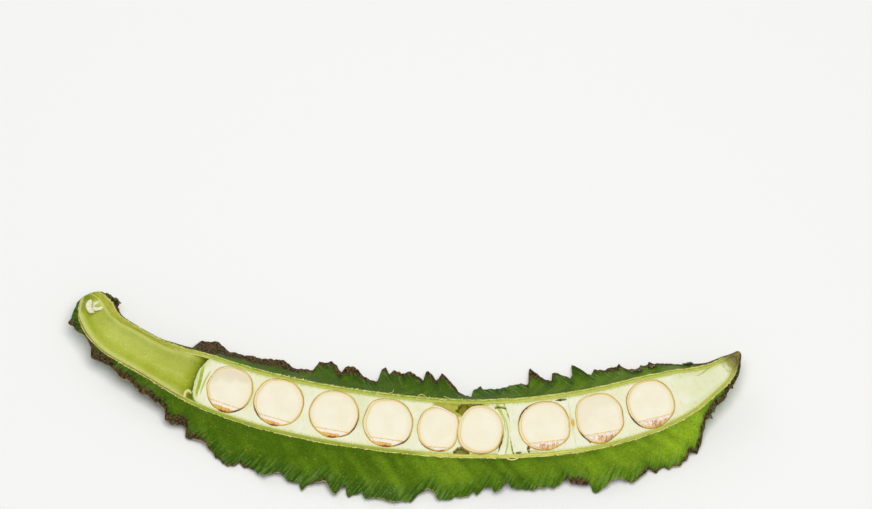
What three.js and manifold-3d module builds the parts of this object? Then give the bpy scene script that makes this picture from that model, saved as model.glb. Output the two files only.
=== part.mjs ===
// Half of a winged bean pod (Psophocarpus tetragonolobus), split lengthwise through both seams.
//
// Units are millimetres and +Z is up. The pod lies cut face up, with the stalk end at -X and the
// pointed tip at +X. The flat of the belly and the edges of the two wings rest on the ground at z = 0.
//
// Every piece is set out along the spine, the middle line of the cut face:
//   s  distance along the spine from the stalk end
//   u  distance across it, positive towards the back wing (+Y) and negative towards the front wing
//   v  height above the cut face, so that everything inside the pod has a negative v

import * as THREE from 'three';
import { mergeVertices } from 'three/addons/utils/BufferGeometryUtils.js';
import Module from 'manifold-3d';

// ---- Driving dimensions ----

const CUT_HEIGHT = 7.4; // the cut face above the ground: half the thickness of a whole pod's body
const SPINE = [
  [-71.72, 22.99], [-68.32, 15.99], [-62.12, 11.29], [-49.52, 4.79], [-33.52, -1.56], [-11.52, -6.41],
  [14.48, -8.81], [38.48, -6.71], [57.48, -1.11], [69.18, 5.19], [74.78, 9.69],
];

// Profiles along the spine, as knots of [s, size].
const HALF_WIDTH = [
  [0, 2], [1.5, 3.3], [4, 4.1], [8.5, 4.7], [20, 4.95], [27, 5.2], [34, 6.4], [45, 6.8],
  [57, 6.95], [80, 7], [96, 7], [107, 7.15], [117, 7.3], [129, 7.2], [136, 6.95], [140.5, 6.2],
  [146, 5], [153, 3.5], [157.5, 2.2], [161, 0.6],
];
const BELLY_DEPTH = [
  [0, 1.8], [1.5, 2.9], [4, 3.8], [8.5, 4.4], [20, 5.2], [30, 6.2], [40, 7.2], [48, 7.7],
  [121, 7.7], [134, 7.2], [140.5, 6.6], [146, 5.4], [153, 3.8], [157.5, 2.5], [161, 0.8],
];
const BELLY_WALL = 1.2; // under the seeds, at the thickest part of the belly
const RIM_WALL = 1; // width of the cut wall
const TROUGH_START = [0.8, 4]; // the hollow deepens from its closed end to here
const TROUGH_END = [152, 158];
const SQUARENESS = 2.4; // superellipse exponent of the hollow and of the seeds

// A wing leaves the rim as one surface with the body and slopes down until its edge meets the ground.
const MAX_WING_SLOPE = THREE.MathUtils.degToRad(50);
const WING_SAG = 0.9; // how far a full-size wing is hollowed between rim and edge
const FULL_WING = 12;
const RIPPLE = 1.5; // height of the waves at a wing's edge
const WING_ROWS = [0.2, 0.42, 0.7, 1]; // rows of points from rim to edge, as parts of the wing's width
const WING_THICKNESS = [2, 1.5, 1, 0.7]; // at those rows
const TEETH = 45; // along a whole wing
const TOOTH_DEPTH = [0.4, 1.5]; // shallowest and deepest bite between two teeth
const STATIONS_PER_TOOTH = 3;

// Each wing: side (+1 back, -1 front), knots of its width, and the torn notches [s, depth, half width].
const BACK_WING = {
  side: 1,
  seed: 40,
  phase: 1.1,
  reach: [
    [0, 0.9], [3, 2], [8, 1.8], [12, 1], [20, 1.2], [28, 1.8], [31.5, 5.6], [34, 8.6], [37.5, 8.4],
    [41, 7.4], [48, 8.2], [56, 8.6], [62, 9.6], [77, 10.3], [89, 10.5], [97, 9.2], [103, 8.8],
    [108, 10.4], [121, 10.2], [138, 9.4], [145, 7.8], [151, 5], [156, 2.2], [161, 0.8],
  ],
  notches: [[66, 1.8, 1.6], [74, 3, 2.2], [85, 2.2, 1.2], [94.5, 4.8, 2.4], [117, 2, 1.2]],
};
const FRONT_WING = {
  side: -1,
  seed: 7,
  phase: 0,
  reach: [
    [0, 0.9], [4, 2.8], [7, 1.4], [12, 2.8], [17, 3], [20, 3.8], [24, 5.3], [31, 7.2], [38, 9],
    [46, 10], [56, 11.4], [68, 11.9], [80, 11.2], [90, 9.9], [100, 8], [109, 7.9], [117, 8.8],
    [122, 10.4], [130, 10.2], [135, 7.9], [140, 6], [145, 4.4], [150, 2.9], [156, 1.4], [161, 0.8],
  ],
  notches: [[61, 2.2, 1.6], [85, 3, 1.6], [102.5, 2.4, 1.4], [116, 2.8, 1.6], [126, 2.2, 1.4]],
};

// The nine cut seeds: middle (s, u), length along the spine, width across it, depth below the cut face,
// height they stand proud of it, and turn in degrees.
const CLEARANCE = 0.3; // between pieces that touch
const SEEDS = [
  { s: 40.1, u: 0.25, long: 10.5, wide: 10.6, depth: 4.8, proud: 0, turn: -8 },
  { s: 51.6, u: 0.3, long: 11.5, wide: 10.8, depth: 5, proud: 0, turn: -6 },
  { s: 64.7, u: 0.4, long: 11.4, wide: 10.7, depth: 4.9, proud: 0, turn: -4 },
  { s: 77, u: 0.25, long: 11.3, wide: 11, depth: 5, proud: 0, turn: 0 },
  { s: 88.1, u: 0.15, long: 9.3, wide: 11, depth: 4.7, proud: 0, turn: 3 },
  { s: 97.6, u: 0.1, long: 9, wide: 11, depth: 5.7, proud: 0.6, turn: -2 },
  { s: 112, u: 0.3, long: 11.6, wide: 11.2, depth: 5, proud: 0, turn: 2 },
  { s: 124.3, u: 0.2, long: 11.2, wide: 11.5, depth: 5, proud: 0, turn: 4 },
  { s: 136.4, u: 0.1, long: 11.3, wide: 10.9, depth: 4.8, proud: 0, turn: 2 },
];

// White pith fills the hollow round the seeds. It is torn off towards the stalk and is missing at seed 6.
const PITH_STALK_SIDE = { from: 32.4, to: 90.6, slant: 2.1, seeds: [0, 1, 2, 3, 4] };
const PITH_TIP_SIDE = { from: 104.2, to: 154.6, slant: 0.3, seeds: [6, 7, 8] };
const SEPTUM = { s: 103, thickness: 0.7, wave: 0.3 };
const PITH_SCRAP = { s: 3.6, u: 0.3, outer: 0.95, inner: 0.35, width: 2.4, opening: 2.1 };

// ---- Shared geometry ----

const wasm = await Module();
wasm.setup();

const spine = new THREE.CatmullRomCurve3(
  SPINE.map(([x, y]) => new THREE.Vector3(x, y, CUT_HEIGHT)), false, 'catmullrom', 0.5,
);
spine.arcLengthDivisions = 1200;
const LENGTH = spine.getLength();
const TOOTH_PITCH = LENGTH / TEETH;

// Smooth curve through knots of [s, value]: a cubic between each two, with averaged slopes at the knots.
function along(knots, s) {
  const last = knots.length - 1;
  const passed = knots.filter(([at]) => at <= s).length - 1;
  const i = THREE.MathUtils.clamp(passed, 0, last - 1);
  const slope = (k) => {
    const [a, b] = [knots[Math.max(k - 1, 0)], knots[Math.min(k + 1, last)]];
    return (b[1] - a[1]) / (b[0] - a[0]);
  };
  const span = knots[i + 1][0] - knots[i][0];
  const t = THREE.MathUtils.clamp((s - knots[i][0]) / span, 0, 1);
  const rise = knots[i + 1][1] - knots[i][1];
  const ease = t * t * (3 - 2 * t);
  return knots[i][1] + rise * ease
    + span * (slope(i) * t * (1 - t) ** 2 - slope(i + 1) * t * t * (1 - t));
}

// Repeatable random number from 0 to 1 for a whole number n.
function scatter(n) {
  const x = Math.sin(n * 12.9898) * 43758.5453;
  return x - Math.floor(x);
}

function signedPower(x, power) {
  return Math.sign(x) * Math.abs(x) ** power;
}

// The point at (s, u, v) in the pod's own frame.
function place(s, u, v) {
  const t = THREE.MathUtils.clamp(s / LENGTH, 0, 1);
  const point = spine.getPointAt(t);
  const ahead = spine.getTangentAt(t);
  const beyond = s - t * LENGTH;
  point.x += beyond * ahead.x - u * ahead.y;
  point.y += beyond * ahead.y + u * ahead.x;
  point.z += v;
  return point;
}

// A closed body through rings of points that all have the same count and run clockwise seen from the
// tip. Quads listed in mirrored are split along their other diagonal. Both ends close on a middle point.
function loft(rings, startCentre, endCentre, mirrored = []) {
  const count = rings[0].length;
  const positions = rings.flat().concat([startCentre, endCentre]).flatMap((p) => [p.x, p.y, p.z]);
  const start = rings.length * count;
  const index = [];
  for (let i = 0; i < rings.length - 1; i += 1) {
    for (let j = 0; j < count; j += 1) {
      const a = i * count + j;
      const b = i * count + ((j + 1) % count);
      const [c, d] = [a + count, b + count];
      if (mirrored.includes(j)) {
        index.push(a, c, b, c, d, b);
      } else {
        index.push(a, c, d, a, d, b);
      }
    }
  }
  for (let j = 0; j < count; j += 1) {
    const next = (j + 1) % count;
    index.push(start, j, next);
    index.push(start + 1, start - count + next, start - count + j);
  }
  const geometry = new THREE.BufferGeometry();
  geometry.setAttribute('position', new THREE.Float32BufferAttribute(positions, 3));
  geometry.setIndex(index);
  return geometry;
}

function toManifold(geometry) {
  const bare = geometry.clone();
  bare.deleteAttribute('normal');
  bare.deleteAttribute('uv');
  const merged = mergeVertices(bare, 1e-4);
  return new wasm.Manifold(new wasm.Mesh({
    numProp: 3,
    vertProperties: Float32Array.from(merged.attributes.position.array),
    triVerts: Uint32Array.from(merged.index.array),
  }));
}

function toGeometry(manifold) {
  const mesh = manifold.getMesh();
  const geometry = new THREE.BufferGeometry();
  geometry.setAttribute('position', new THREE.BufferAttribute(mesh.vertProperties, 3));
  geometry.setIndex(new THREE.BufferAttribute(mesh.triVerts, 1));
  return geometry;
}

function largestBody(manifold) {
  return manifold.decompose().reduce((best, body) => (body.volume() > best.volume() ? body : best));
}

// ---- The pod: wall, belly and two toothed wings, grown as one piece ----

function rimInside(s) {
  const half = along(HALF_WIDTH, s);
  return Math.max(half - RIM_WALL, 0.55 * half);
}

function troughDepth(s) {
  const opening = THREE.MathUtils.smoothstep(s, ...TROUGH_START)
    * (1 - THREE.MathUtils.smoothstep(s, ...TROUGH_END));
  return opening * Math.max(Math.min(along(BELLY_DEPTH, s), CUT_HEIGHT) - BELLY_WALL, 0);
}

// A point of the hollow's wall at an angle from the back rim (0) through the floor to the front rim (PI).
function troughPoint(s, angle, inset = 0) {
  const u = (rimInside(s) - inset) * signedPower(Math.cos(angle), 2 / SQUARENESS);
  const v = -(troughDepth(s) - inset) * signedPower(Math.sin(angle), 2 / SQUARENESS);
  return [u, Math.min(v, 0)];
}

// Depth of the bite out of a wing's edge: each tooth rises over two thirds of the pitch, then drops.
function bite(wing, s) {
  const tooth = Math.floor(s / TOOTH_PITCH + 1e-6);
  const phase = s / TOOTH_PITCH - tooth;
  const depth = (n) => THREE.MathUtils.lerp(...TOOTH_DEPTH, scatter(n + wing.seed));
  const size = Math.min(along(wing.reach, s) / FULL_WING, 1);
  if (phase < 2 / 3) {
    return size * depth(tooth) * (1 - 1.5 * phase) ** 1.3;
  }
  return size * depth(tooth + 1) * (3 * phase - 2);
}

function notch(wing, s) {
  return wing.notches.reduce((sum, [at, depth, half]) => (
    sum + depth * Math.exp(-(((s - at) / half) ** 2))
  ), 0);
}

// Height of the waves at the edge, from 0 in a trough to RIPPLE on a crest.
function ripple(wing, s) {
  const size = Math.min(along(wing.reach, s) / FULL_WING, 1);
  const wave = 0.6 * Math.sin((2 * Math.PI * s) / 12.4 + wing.phase)
    + 0.4 * Math.sin((2 * Math.PI * s) / 7.3 + 2.3 * wing.phase + 1);
  return RIPPLE * size * (0.5 + 0.5 * wave);
}

// The rows of a wing at s, on its seam face and on its belly face, as [u, v] from rim to edge.
function wingSection(wing, s) {
  const reach = along(wing.reach, s);
  const drop = Math.min(MAX_WING_SLOPE, Math.asin(Math.min((CUT_HEIGHT - 0.55) / reach, 1)));
  const slim = Math.min(along(BELLY_DEPTH, s) / 3.5, 1);
  const [out, down] = [Math.cos(drop), Math.sin(drop)];
  const rim = along(HALF_WIDTH, s);
  const seamFace = [];
  const bellyFace = [];
  WING_ROWS.forEach((row, k) => {
    const cut = notch(wing, s) + (row === 1 ? bite(wing, s) : 0);
    const width = Math.max(row * (reach - notch(wing, s)) - (cut - notch(wing, s)), 0.3 * row);
    const lift = ripple(wing, s) * row ** 1.5
      - WING_SAG * (reach / FULL_WING) ** 2 * Math.sin(Math.PI * row);
    const thick = slim * WING_THICKNESS[k];
    const u = rim + width * out + lift * down;
    const v = -width * down + lift * out;
    seamFace.push([wing.side * u, Math.max(v, 0.6 * thick - CUT_HEIGHT)]);
    bellyFace.push([wing.side * (u - thick * down), Math.max(v - thick * out, -CUT_HEIGHT)]);
  });
  return { seamFace, bellyFace };
}

// One cross-section of the pod, from the back rim round the outside to the front rim and back inside.
function podSection(s) {
  const half = along(HALF_WIDTH, s);
  const belly = along(BELLY_DEPTH, s);
  const back = wingSection(BACK_WING, s);
  const front = wingSection(FRONT_WING, s);
  const under = [[0.92, 0.62], [0.62, 0.92], [0.2, 1]]
    .map(([across, deep]) => [across * half, Math.max(-deep * belly, -CUT_HEIGHT)]);
  return [
    troughPoint(s, 0),
    [half, 0],
    ...back.seamFace,
    ...back.bellyFace.reverse(),
    ...under,
    ...under.map(([u, v]) => [-u, v]).reverse(),
    ...front.bellyFace,
    ...front.seamFace.reverse(),
    [-half, 0],
    troughPoint(s, Math.PI),
    ...[5, 4, 3, 2, 1].map((k) => troughPoint(s, (k * Math.PI) / 6)),
  ];
}

function podGeometry() {
  const steps = TEETH * STATIONS_PER_TOOTH;
  const rings = [];
  for (let i = 0; i <= steps; i += 1) {
    const s = (i / steps) * LENGTH;
    rings.push(podSection(s).map(([u, v]) => place(s, u, v)));
  }
  // The two faces of a wing are split alike, so that the thin blade never crosses itself.
  const mirrored = [6, 7, 8, 20, 21, 22];
  const stalkScar = place(-0.5, 0, -0.7);
  const tip = place(LENGTH + 0.4, 0, -0.3);
  return loft(rings, stalkScar, tip, mirrored);
}

// ---- Seeds ----

// A seed cut flat across its middle: boxy in outline, flatter on the front where the hilum is.
// Growing it by the clearance and raising its top gives the cutter for its cell in the pith.
function seedGeometry(seed, grow = 0, raise = 0) {
  const around = 20;
  const turn = THREE.MathUtils.degToRad(seed.turn);
  const ringAt = (level) => {
    const shrink = Math.cos(level) ** (2 / SQUARENESS);
    const v = -(seed.depth + grow) * Math.sin(level) ** (2 / SQUARENESS);
    return { shrink, v };
  };
  const top = seed.proud + raise;
  const levels = [15, 35, 55, 73].map((angle) => ringAt(THREE.MathUtils.degToRad(angle)));
  const rings = [{ shrink: 1, v: top }, { shrink: 1, v: Math.min(0, top) - 0.4 }, ...levels];
  const point = (angle, { shrink, v }) => {
    const [c, d] = [Math.cos(angle), Math.sin(angle)];
    const boxy = d < 0 ? 3 : 2.3;
    const a = (seed.long / 2 + grow) * shrink * signedPower(c, 2 / boxy);
    const b = (seed.wide / 2 + grow) * shrink * signedPower(d, 2 / boxy);
    const ahead = a * Math.cos(turn) - b * Math.sin(turn);
    const across = seed.u + a * Math.sin(turn) + b * Math.cos(turn);
    return placeFlat(seed.s, ahead, across, v);
  };
  const loops = rings.map((ring) => (
    Array.from({ length: around }, (_, j) => point((2 * Math.PI * j) / around, ring))
  ));
  const crown = placeFlat(seed.s, 0, seed.u, top);
  const foot = placeFlat(seed.s, 0, seed.u, -seed.depth - grow);
  return loft(loops, crown, foot);
}

// Like place, but the distance ahead is measured along the spine's tangent at s, not round its bend.
function placeFlat(s, ahead, u, v) {
  const point = place(s, u, v);
  const tangent = spine.getTangentAt(s / LENGTH);
  return point.addScaledVector(tangent, ahead);
}

// ---- Pith ----

// What fills the hollow between two places on the spine. bend(across) shifts each end along the spine,
// for across from -1 at the front rim to 1 at the back rim.
function troughFill(from, to, steps, startBend, endBend) {
  const angles = Array.from({ length: 11 }, (_, k) => (k * Math.PI) / 10);
  const ringAt = (t) => angles.map((angle) => {
    const across = Math.cos(angle);
    const s = THREE.MathUtils.lerp(from + startBend(across), to + endBend(across), t);
    return place(s, ...troughPoint(s, angle, CLEARANCE));
  });
  const rings = Array.from({ length: steps + 1 }, (_, i) => ringAt(i / steps));
  const middle = (s) => place(s, 0, -0.4 * troughDepth(s));
  return loft(rings, middle(from + startBend(0)), middle(to + endBend(0)));
}

function pithGeometry({ from, to, slant, seeds }) {
  const steps = Math.round((to - from) / 2.2);
  const torn = (across) => slant * across + 0.25 * Math.sin(7 * across);
  const block = toManifold(troughFill(from, to, steps, torn, (across) => 0.3 * Math.sin(5 * across)));
  const cells = seeds.map((n) => toManifold(seedGeometry(SEEDS[n], CLEARANCE, 1)));
  return toGeometry(largestBody(cells.reduce((rest, cell) => rest.subtract(cell), block)));
}

function septumGeometry({ s, thickness, wave }) {
  const fold = (across) => wave * Math.sin(2.5 * Math.PI * across);
  return troughFill(s - thickness / 2, s + thickness / 2, 1, fold, fold);
}

// A curled shred of pith left at the stalk end: a thick strip rolled most of the way round.
function scrapGeometry({ s, u, outer, inner, width, opening }) {
  const curl = new THREE.Shape();
  curl.absarc(0, 0, outer, opening / 2, 2 * Math.PI - opening / 2, false);
  curl.absarc(0, 0, inner, 2 * Math.PI - opening / 2, opening / 2, true);
  const strip = new THREE.ExtrudeGeometry(curl, { depth: width, bevelEnabled: false, curveSegments: 10 });
  strip.translate(0, 0, -width / 2);
  strip.rotateY(Math.PI / 2);
  const ahead = spine.getTangentAt(s / LENGTH);
  strip.rotateZ(Math.atan2(ahead.y, ahead.x));
  const rest = place(s, u, CLEARANCE + outer - troughDepth(s - width / 2));
  strip.translate(rest.x, rest.y, rest.z);
  return strip;
}

// ---- Assembly ----

function piece(name, geometry, color, roughness) {
  const shape = geometry.index ? geometry : mergeVertices(geometry);
  shape.computeVertexNormals();
  const mesh = new THREE.Mesh(shape, new THREE.MeshStandardMaterial({ color, roughness, metalness: 0 }));
  mesh.name = name;
  return mesh;
}

const beanHalf = new THREE.Group();
beanHalf.name = 'winged_bean_half';
beanHalf.add(piece('pod_shell', podGeometry(), 0x5c8f22, 0.55));
beanHalf.add(piece('pith_stalk_side', pithGeometry(PITH_STALK_SIDE), 0xe3ebcf, 0.8));
beanHalf.add(piece('pith_tip_side', pithGeometry(PITH_TIP_SIDE), 0xe3ebcf, 0.8));
beanHalf.add(piece('septum_flap', septumGeometry(SEPTUM), 0xdde5b4, 0.7));
beanHalf.add(piece('pith_scrap', scrapGeometry(PITH_SCRAP), 0xeff0dc, 0.8));
SEEDS.forEach((seed, n) => {
  beanHalf.add(piece(`seed_${n + 1}`, seedGeometry(seed), 0xf3e6cc, 0.5));
});

export default beanHalf;
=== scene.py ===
"""Half of a winged bean pod, split lengthwise through both seams and lying cut face up.

Every form is worked out in millimetres along the spine, the middle line of the cut face: s runs along
it from the stalk end, u across it (positive towards the back wing, +Y) and v up from the cut face.
Lengths turn to metres when a mesh is made.
"""

import logging
import math
from abc import ABC, abstractmethod
from dataclasses import dataclass, field
from enum import IntEnum
from functools import reduce
from typing import Any

import bpy
import numpy as np
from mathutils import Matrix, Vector


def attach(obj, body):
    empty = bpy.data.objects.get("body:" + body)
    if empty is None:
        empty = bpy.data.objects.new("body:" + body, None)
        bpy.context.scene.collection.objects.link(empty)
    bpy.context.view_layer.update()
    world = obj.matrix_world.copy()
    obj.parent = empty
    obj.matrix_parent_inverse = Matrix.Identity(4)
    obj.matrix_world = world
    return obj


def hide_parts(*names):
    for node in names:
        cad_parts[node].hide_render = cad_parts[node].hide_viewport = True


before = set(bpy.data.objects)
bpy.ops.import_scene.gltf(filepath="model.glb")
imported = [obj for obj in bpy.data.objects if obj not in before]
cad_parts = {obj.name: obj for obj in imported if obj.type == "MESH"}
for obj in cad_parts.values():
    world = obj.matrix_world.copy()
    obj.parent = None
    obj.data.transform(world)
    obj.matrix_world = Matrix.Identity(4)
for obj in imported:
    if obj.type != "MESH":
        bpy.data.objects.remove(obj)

Array = np.ndarray
Knots = tuple[tuple[float, float], ...]
Line = tuple[tuple[float, ...], ...]

LOG = logging.getLogger("winged_bean_half")
MM = 0.001

CUT_HEIGHT = 7.4
SQUARENESS = 2.4  # superellipse exponent of the hollow and of the seeds
SPINE_KNOTS: Knots = (
    (-71.72, 22.99), (-68.32, 15.99), (-62.12, 11.29), (-49.52, 4.79), (-33.52, -1.56), (-11.52, -6.41),
    (14.48, -8.81), (38.48, -6.71), (57.48, -1.11), (69.18, 5.19), (74.78, 9.69),
)


# ---- Arithmetic on whole arrays ----


def follow(knots: Knots, x: Array) -> Array:
    """Reads a smooth curve through knots: a cubic between each two, with averaged slopes at the knots.

    Args:
        knots: pairs of place and value, in order of place.
        x: places to read.

    Returns:
        The values there, level beyond both ends.
    """
    at, value = np.array(knots, float).T
    slope = np.empty_like(value)
    slope[1:-1] = (value[2:] - value[:-2]) / (at[2:] - at[:-2])
    slope[0] = (value[1] - value[0]) / (at[1] - at[0])
    slope[-1] = (value[-1] - value[-2]) / (at[-1] - at[-2])
    i = np.clip(np.searchsorted(at, x, side="right") - 1, 0, len(at) - 2)
    span = at[i + 1] - at[i]
    t = np.clip((x - at[i]) / span, 0, 1)
    bend = span * (slope[i] * t * (1 - t) ** 2 - slope[i + 1] * t * t * (1 - t))
    return value[i] + (value[i + 1] - value[i]) * t * t * (3 - 2 * t) + bend


def ease(low: float, high: float, x: Array) -> Array:
    """Rises from 0 at low to 1 at high as 3t^2 - 2t^3, and falls if low is the larger.

    Args:
        low: where it is 0.
        high: where it is 1.
        x: places to read.

    Returns:
        Values from 0 to 1.
    """
    t = np.clip((x - low) / (high - low), 0, 1)
    return t * t * (3 - 2 * t)


def hump(x: Array, middle: float, half: float) -> Array:
    """A bell of height 1: e to the minus ((x - middle) / half) squared."""
    return np.exp(-(((x - middle) / half) ** 2))


def rough(x: Array, y: Array, seed: int, octaves: int = 1) -> Array:
    """Smooth random heights from about -1 to 1 over a plane, about one bump to each unit.

    Each lattice corner gets a hashed value, the four round a point are blended by 3t^2 - 2t^3, and
    each further octave adds half the height at twice the fineness.

    Args:
        x: first coordinate, in bumps.
        y: second coordinate, in bumps.
        seed: which of the many patterns.
        octaves: how many finenesses are added up.

    Returns:
        Heights of the broadcast shape of x and y.
    """
    x, y = np.broadcast_arrays(np.asarray(x, float), np.asarray(y, float))
    total = np.zeros(x.shape)
    for octave in range(octaves):
        gx, gy = x * 2**octave + 0.37 * octave, y * 2**octave + 0.71 * octave
        column, row = np.floor(gx).astype(np.int64), np.floor(gy).astype(np.int64)
        tx, ty = gx - column, gy - row
        tx, ty = tx * tx * (3 - 2 * tx), ty * ty * (3 - 2 * ty)
        corners = []
        for dx, dy in ((0, 0), (1, 0), (0, 1), (1, 1)):
            h = ((column + dx) * 374761393 + (row + dy) * 668265263 + (seed + 31 * octave) * 974711) & 0xFFFFFFFF
            h = ((h ^ (h >> 13)) * 1274126177) & 0xFFFFFFFF
            corners.append(((h ^ (h >> 16)) & 0xFFFF) / 32767.5 - 1)
        low = corners[0] + (corners[1] - corners[0]) * tx
        high = corners[2] + (corners[3] - corners[2]) * tx
        total += (low + (high - low) * ty) / 2**octave
    return total


def vectors(*parts: Array | float) -> Array:
    """Broadcasts the parts to one shape and stacks them on a last axis."""
    return np.stack(np.broadcast_arrays(*parts), -1).astype(float)


def catmull(before: Array, here: Array, there: Array, after: Array, t: Array | float) -> Array:
    """A uniform Catmull-Rom span: here + a t + (3 d - 2 a - b) t^2 + (a + b - 2 d) t^3.

    Args:
        before: the point before the span.
        here: the point where it starts.
        there: the point where it ends.
        after: the point after the span.
        t: part of the way, 0 to 1.

    Returns:
        Points on the span, with a and b half the steps round its ends and d the step along it.
    """
    leave, arrive, step = 0.5 * (there - before), 0.5 * (after - here), there - here
    return here + leave * t + (3 * step - 2 * leave - arrive) * t**2 + (leave + arrive - 2 * step) * t**3


def smooth_line(points: Line, count: int) -> list[Array]:
    """Reads each coordinate of a line of points by follow, evenly from the first point to the last.

    Args:
        points: the points, with any number of coordinates.
        count: how many places to read.

    Returns:
        The coordinates, one array each.
    """
    at = np.linspace(0, len(points) - 1, count)
    return [follow(tuple(enumerate(part)), at) for part in zip(*points)]


# ---- Closed meshes ----


@dataclass
class Solid:
    """A closed surface, in millimetres.

    Attributes:
        points: corners, n by 3.
        quads: corner numbers of the four-sided faces.
        triangles: corner numbers of the three-sided faces.
        values: named three-part values at each corner, n by 3.
        slots: finish number of each face, the quads first.
    """

    points: Array
    quads: Array
    triangles: Array
    values: dict[str, Array]
    slots: Array

    def volume(self) -> float:
        """Sum of a . (b x c) / 6 over all triangles.

        Returns:
            The volume, positive where the faces point outwards.
        """
        q = self.quads
        corners = np.vstack([q[:, [0, 1, 2]], q[:, [0, 2, 3]], self.triangles])
        a, b, c = (self.points[corners[:, k]] for k in range(3))
        return float((a * np.cross(b, c)).sum() / 6)

    def joined(self, other: "Solid") -> "Solid":
        """Both solids as one mesh.

        Args:
            other: a solid with the same named values.

        Returns:
            A solid with the corners of self first.
        """
        n, four, others = len(self.points), len(self.quads), len(other.quads)
        slots = (self.slots[:four], other.slots[:others], self.slots[four:], other.slots[others:])
        return Solid(
            np.vstack([self.points, other.points]),
            np.vstack([self.quads, other.quads + n]),
            np.vstack([self.triangles, other.triangles + n]),
            {key: np.vstack([value, other.values[key]]) for key, value in self.values.items()},
            np.concatenate(slots),
        )

    def outward(self) -> "Solid":
        """Turns every face to point outwards.

        Returns:
            The same solid.
        """
        if self.volume() < 0:
            self.quads = self.quads[:, ::-1]
            self.triangles = self.triangles[:, ::-1]
        return self

    def piece(self, name: str, finishes: list["Finish"], slot: str,
              stands_for: tuple[str, ...] = (), crease: float = 50.0) -> bpy.types.Object:
        """Makes the Blender object and gives it its place in the frame.

        Args:
            name: name of the object.
            finishes: the finish of each slot number.
            slot: the record's material slot; not used.
            stands_for: the CAD nodes it replaces.
            crease: edges that bend more than this many degrees stay sharp.

        Returns:
            The object, riding on the root body.
        """
        mesh = bpy.data.meshes.new(name)
        mesh.vertices.add(len(self.points))
        mesh.vertices.foreach_set("co", (self.points * MM).ravel())
        corners = np.concatenate([self.quads.ravel(), self.triangles.ravel()]).astype(np.int32)
        mesh.loops.add(len(corners))
        mesh.loops.foreach_set("vertex_index", corners)
        four, three = len(self.quads), len(self.triangles)
        starts = np.concatenate([np.arange(four) * 4, four * 4 + np.arange(three) * 3])
        mesh.polygons.add(four + three)
        mesh.polygons.foreach_set("loop_start", starts.astype(np.int32))
        mesh.polygons.foreach_set("material_index", self.slots.astype(np.int32))
        mesh.update(calc_edges=True)
        mesh.polygons.foreach_set("use_smooth", np.ones(four + three, bool))
        for key, value in self.values.items():
            layer = mesh.attributes.new(key, "FLOAT_VECTOR", "POINT")
            layer.data.foreach_set("vector", value.astype(np.float32).ravel())
        mesh.set_sharp_from_angle(angle=math.radians(crease))
        for finish in finishes:
            mesh.materials.append(finish.material())
        mesh.validate()
        thing = bpy.data.objects.new(name, mesh)
        bpy.context.scene.collection.objects.link(thing)
        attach(thing, "root")
        if stands_for:
            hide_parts(*stands_for)
        LOG.info("%s: %d corners, %d triangles", name, len(self.points), 2 * four + three)
        return thing


def tube(rings: Array, start: Array, end: Array, values: dict[str, Array], slots: Array | int = 0) -> Solid:
    """Joins closed rings into a body and closes each end on a middle point.

    Args:
        rings: points, rings by points round by 3.
        start: the point that closes the first ring.
        end: the point that closes the last ring.
        values: named values shaped like rings.
        slots: finish of the faces, one number or one for each place round the ring.

    Returns:
        The body, its faces outwards.
    """
    rows, count = rings.shape[:2]
    i, j = np.meshgrid(np.arange(rows - 1), np.arange(count), indexing="ij")
    k = (j + 1) % count
    quads = np.stack([i * count + j, (i + 1) * count + j, (i + 1) * count + k, i * count + k], -1)
    j, k, pole = np.arange(count), (np.arange(count) + 1) % count, rows * count
    fans = [np.stack([np.full(count, pole), j, k], 1),
            np.stack([np.full(count, pole + 1), pole - count + k, pole - count + j], 1)]
    ends = {key: np.stack([value[0].mean(0), value[-1].mean(0)]) for key, value in values.items()}
    return Solid(
        np.vstack([rings.reshape(-1, 3), start, end]),
        quads.reshape(-1, 4),
        np.vstack(fans),
        {key: np.vstack([value.reshape(-1, 3), ends[key]]) for key, value in values.items()},
        np.tile(np.broadcast_to(slots, (count,)), rows + 1),
    ).outward()


def slab(top: Array, bottom: Array, values: dict[str, Array]) -> Solid:
    """Closes two sheets of the same grid into one body by a strip round their edges.

    Args:
        top: points of the upper sheet, rows by columns by 3, or such sheets for many bodies at once.
        bottom: points of the lower sheet.
        values: named values shaped like top, used on both sheets.

    Returns:
        The body or bodies, all faces outwards.
    """
    rows, columns = top.shape[-3:-1]
    upper, lower = top.reshape(-1, rows * columns, 3), bottom.reshape(-1, rows * columns, 3)
    n = rows * columns
    at = np.arange(n).reshape(rows, columns)
    face = np.stack([at[:-1, :-1], at[1:, :-1], at[1:, 1:], at[:-1, 1:]], -1).reshape(-1, 4)
    loop = np.concatenate([at[0], at[1:, -1], at[-1, -2::-1], at[-2:0:-1, 0]])
    after = np.roll(loop, -1)
    quads = np.vstack([face, face[:, ::-1] + n, np.stack([loop, after, after + n, loop + n], 1)])
    points = np.concatenate([upper, lower], 1)
    a, b, c, d = (points[:, quads[:, k]] for k in range(4))
    volume = ((a * np.cross(b, c)).sum((1, 2)) + (a * np.cross(c, d)).sum((1, 2))) / 6
    quads = np.where(volume[:, None, None] < 0, quads[:, ::-1], quads)
    quads = (quads + 2 * n * np.arange(len(points))[:, None, None]).reshape(-1, 4)
    doubled = {key: np.tile(value.reshape(-1, n, 3), (1, 2, 1)).reshape(-1, 3) for key, value in values.items()}
    return Solid(points.reshape(-1, 3), quads, np.empty((0, 3), int), doubled, np.zeros(len(quads), int))


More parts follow.
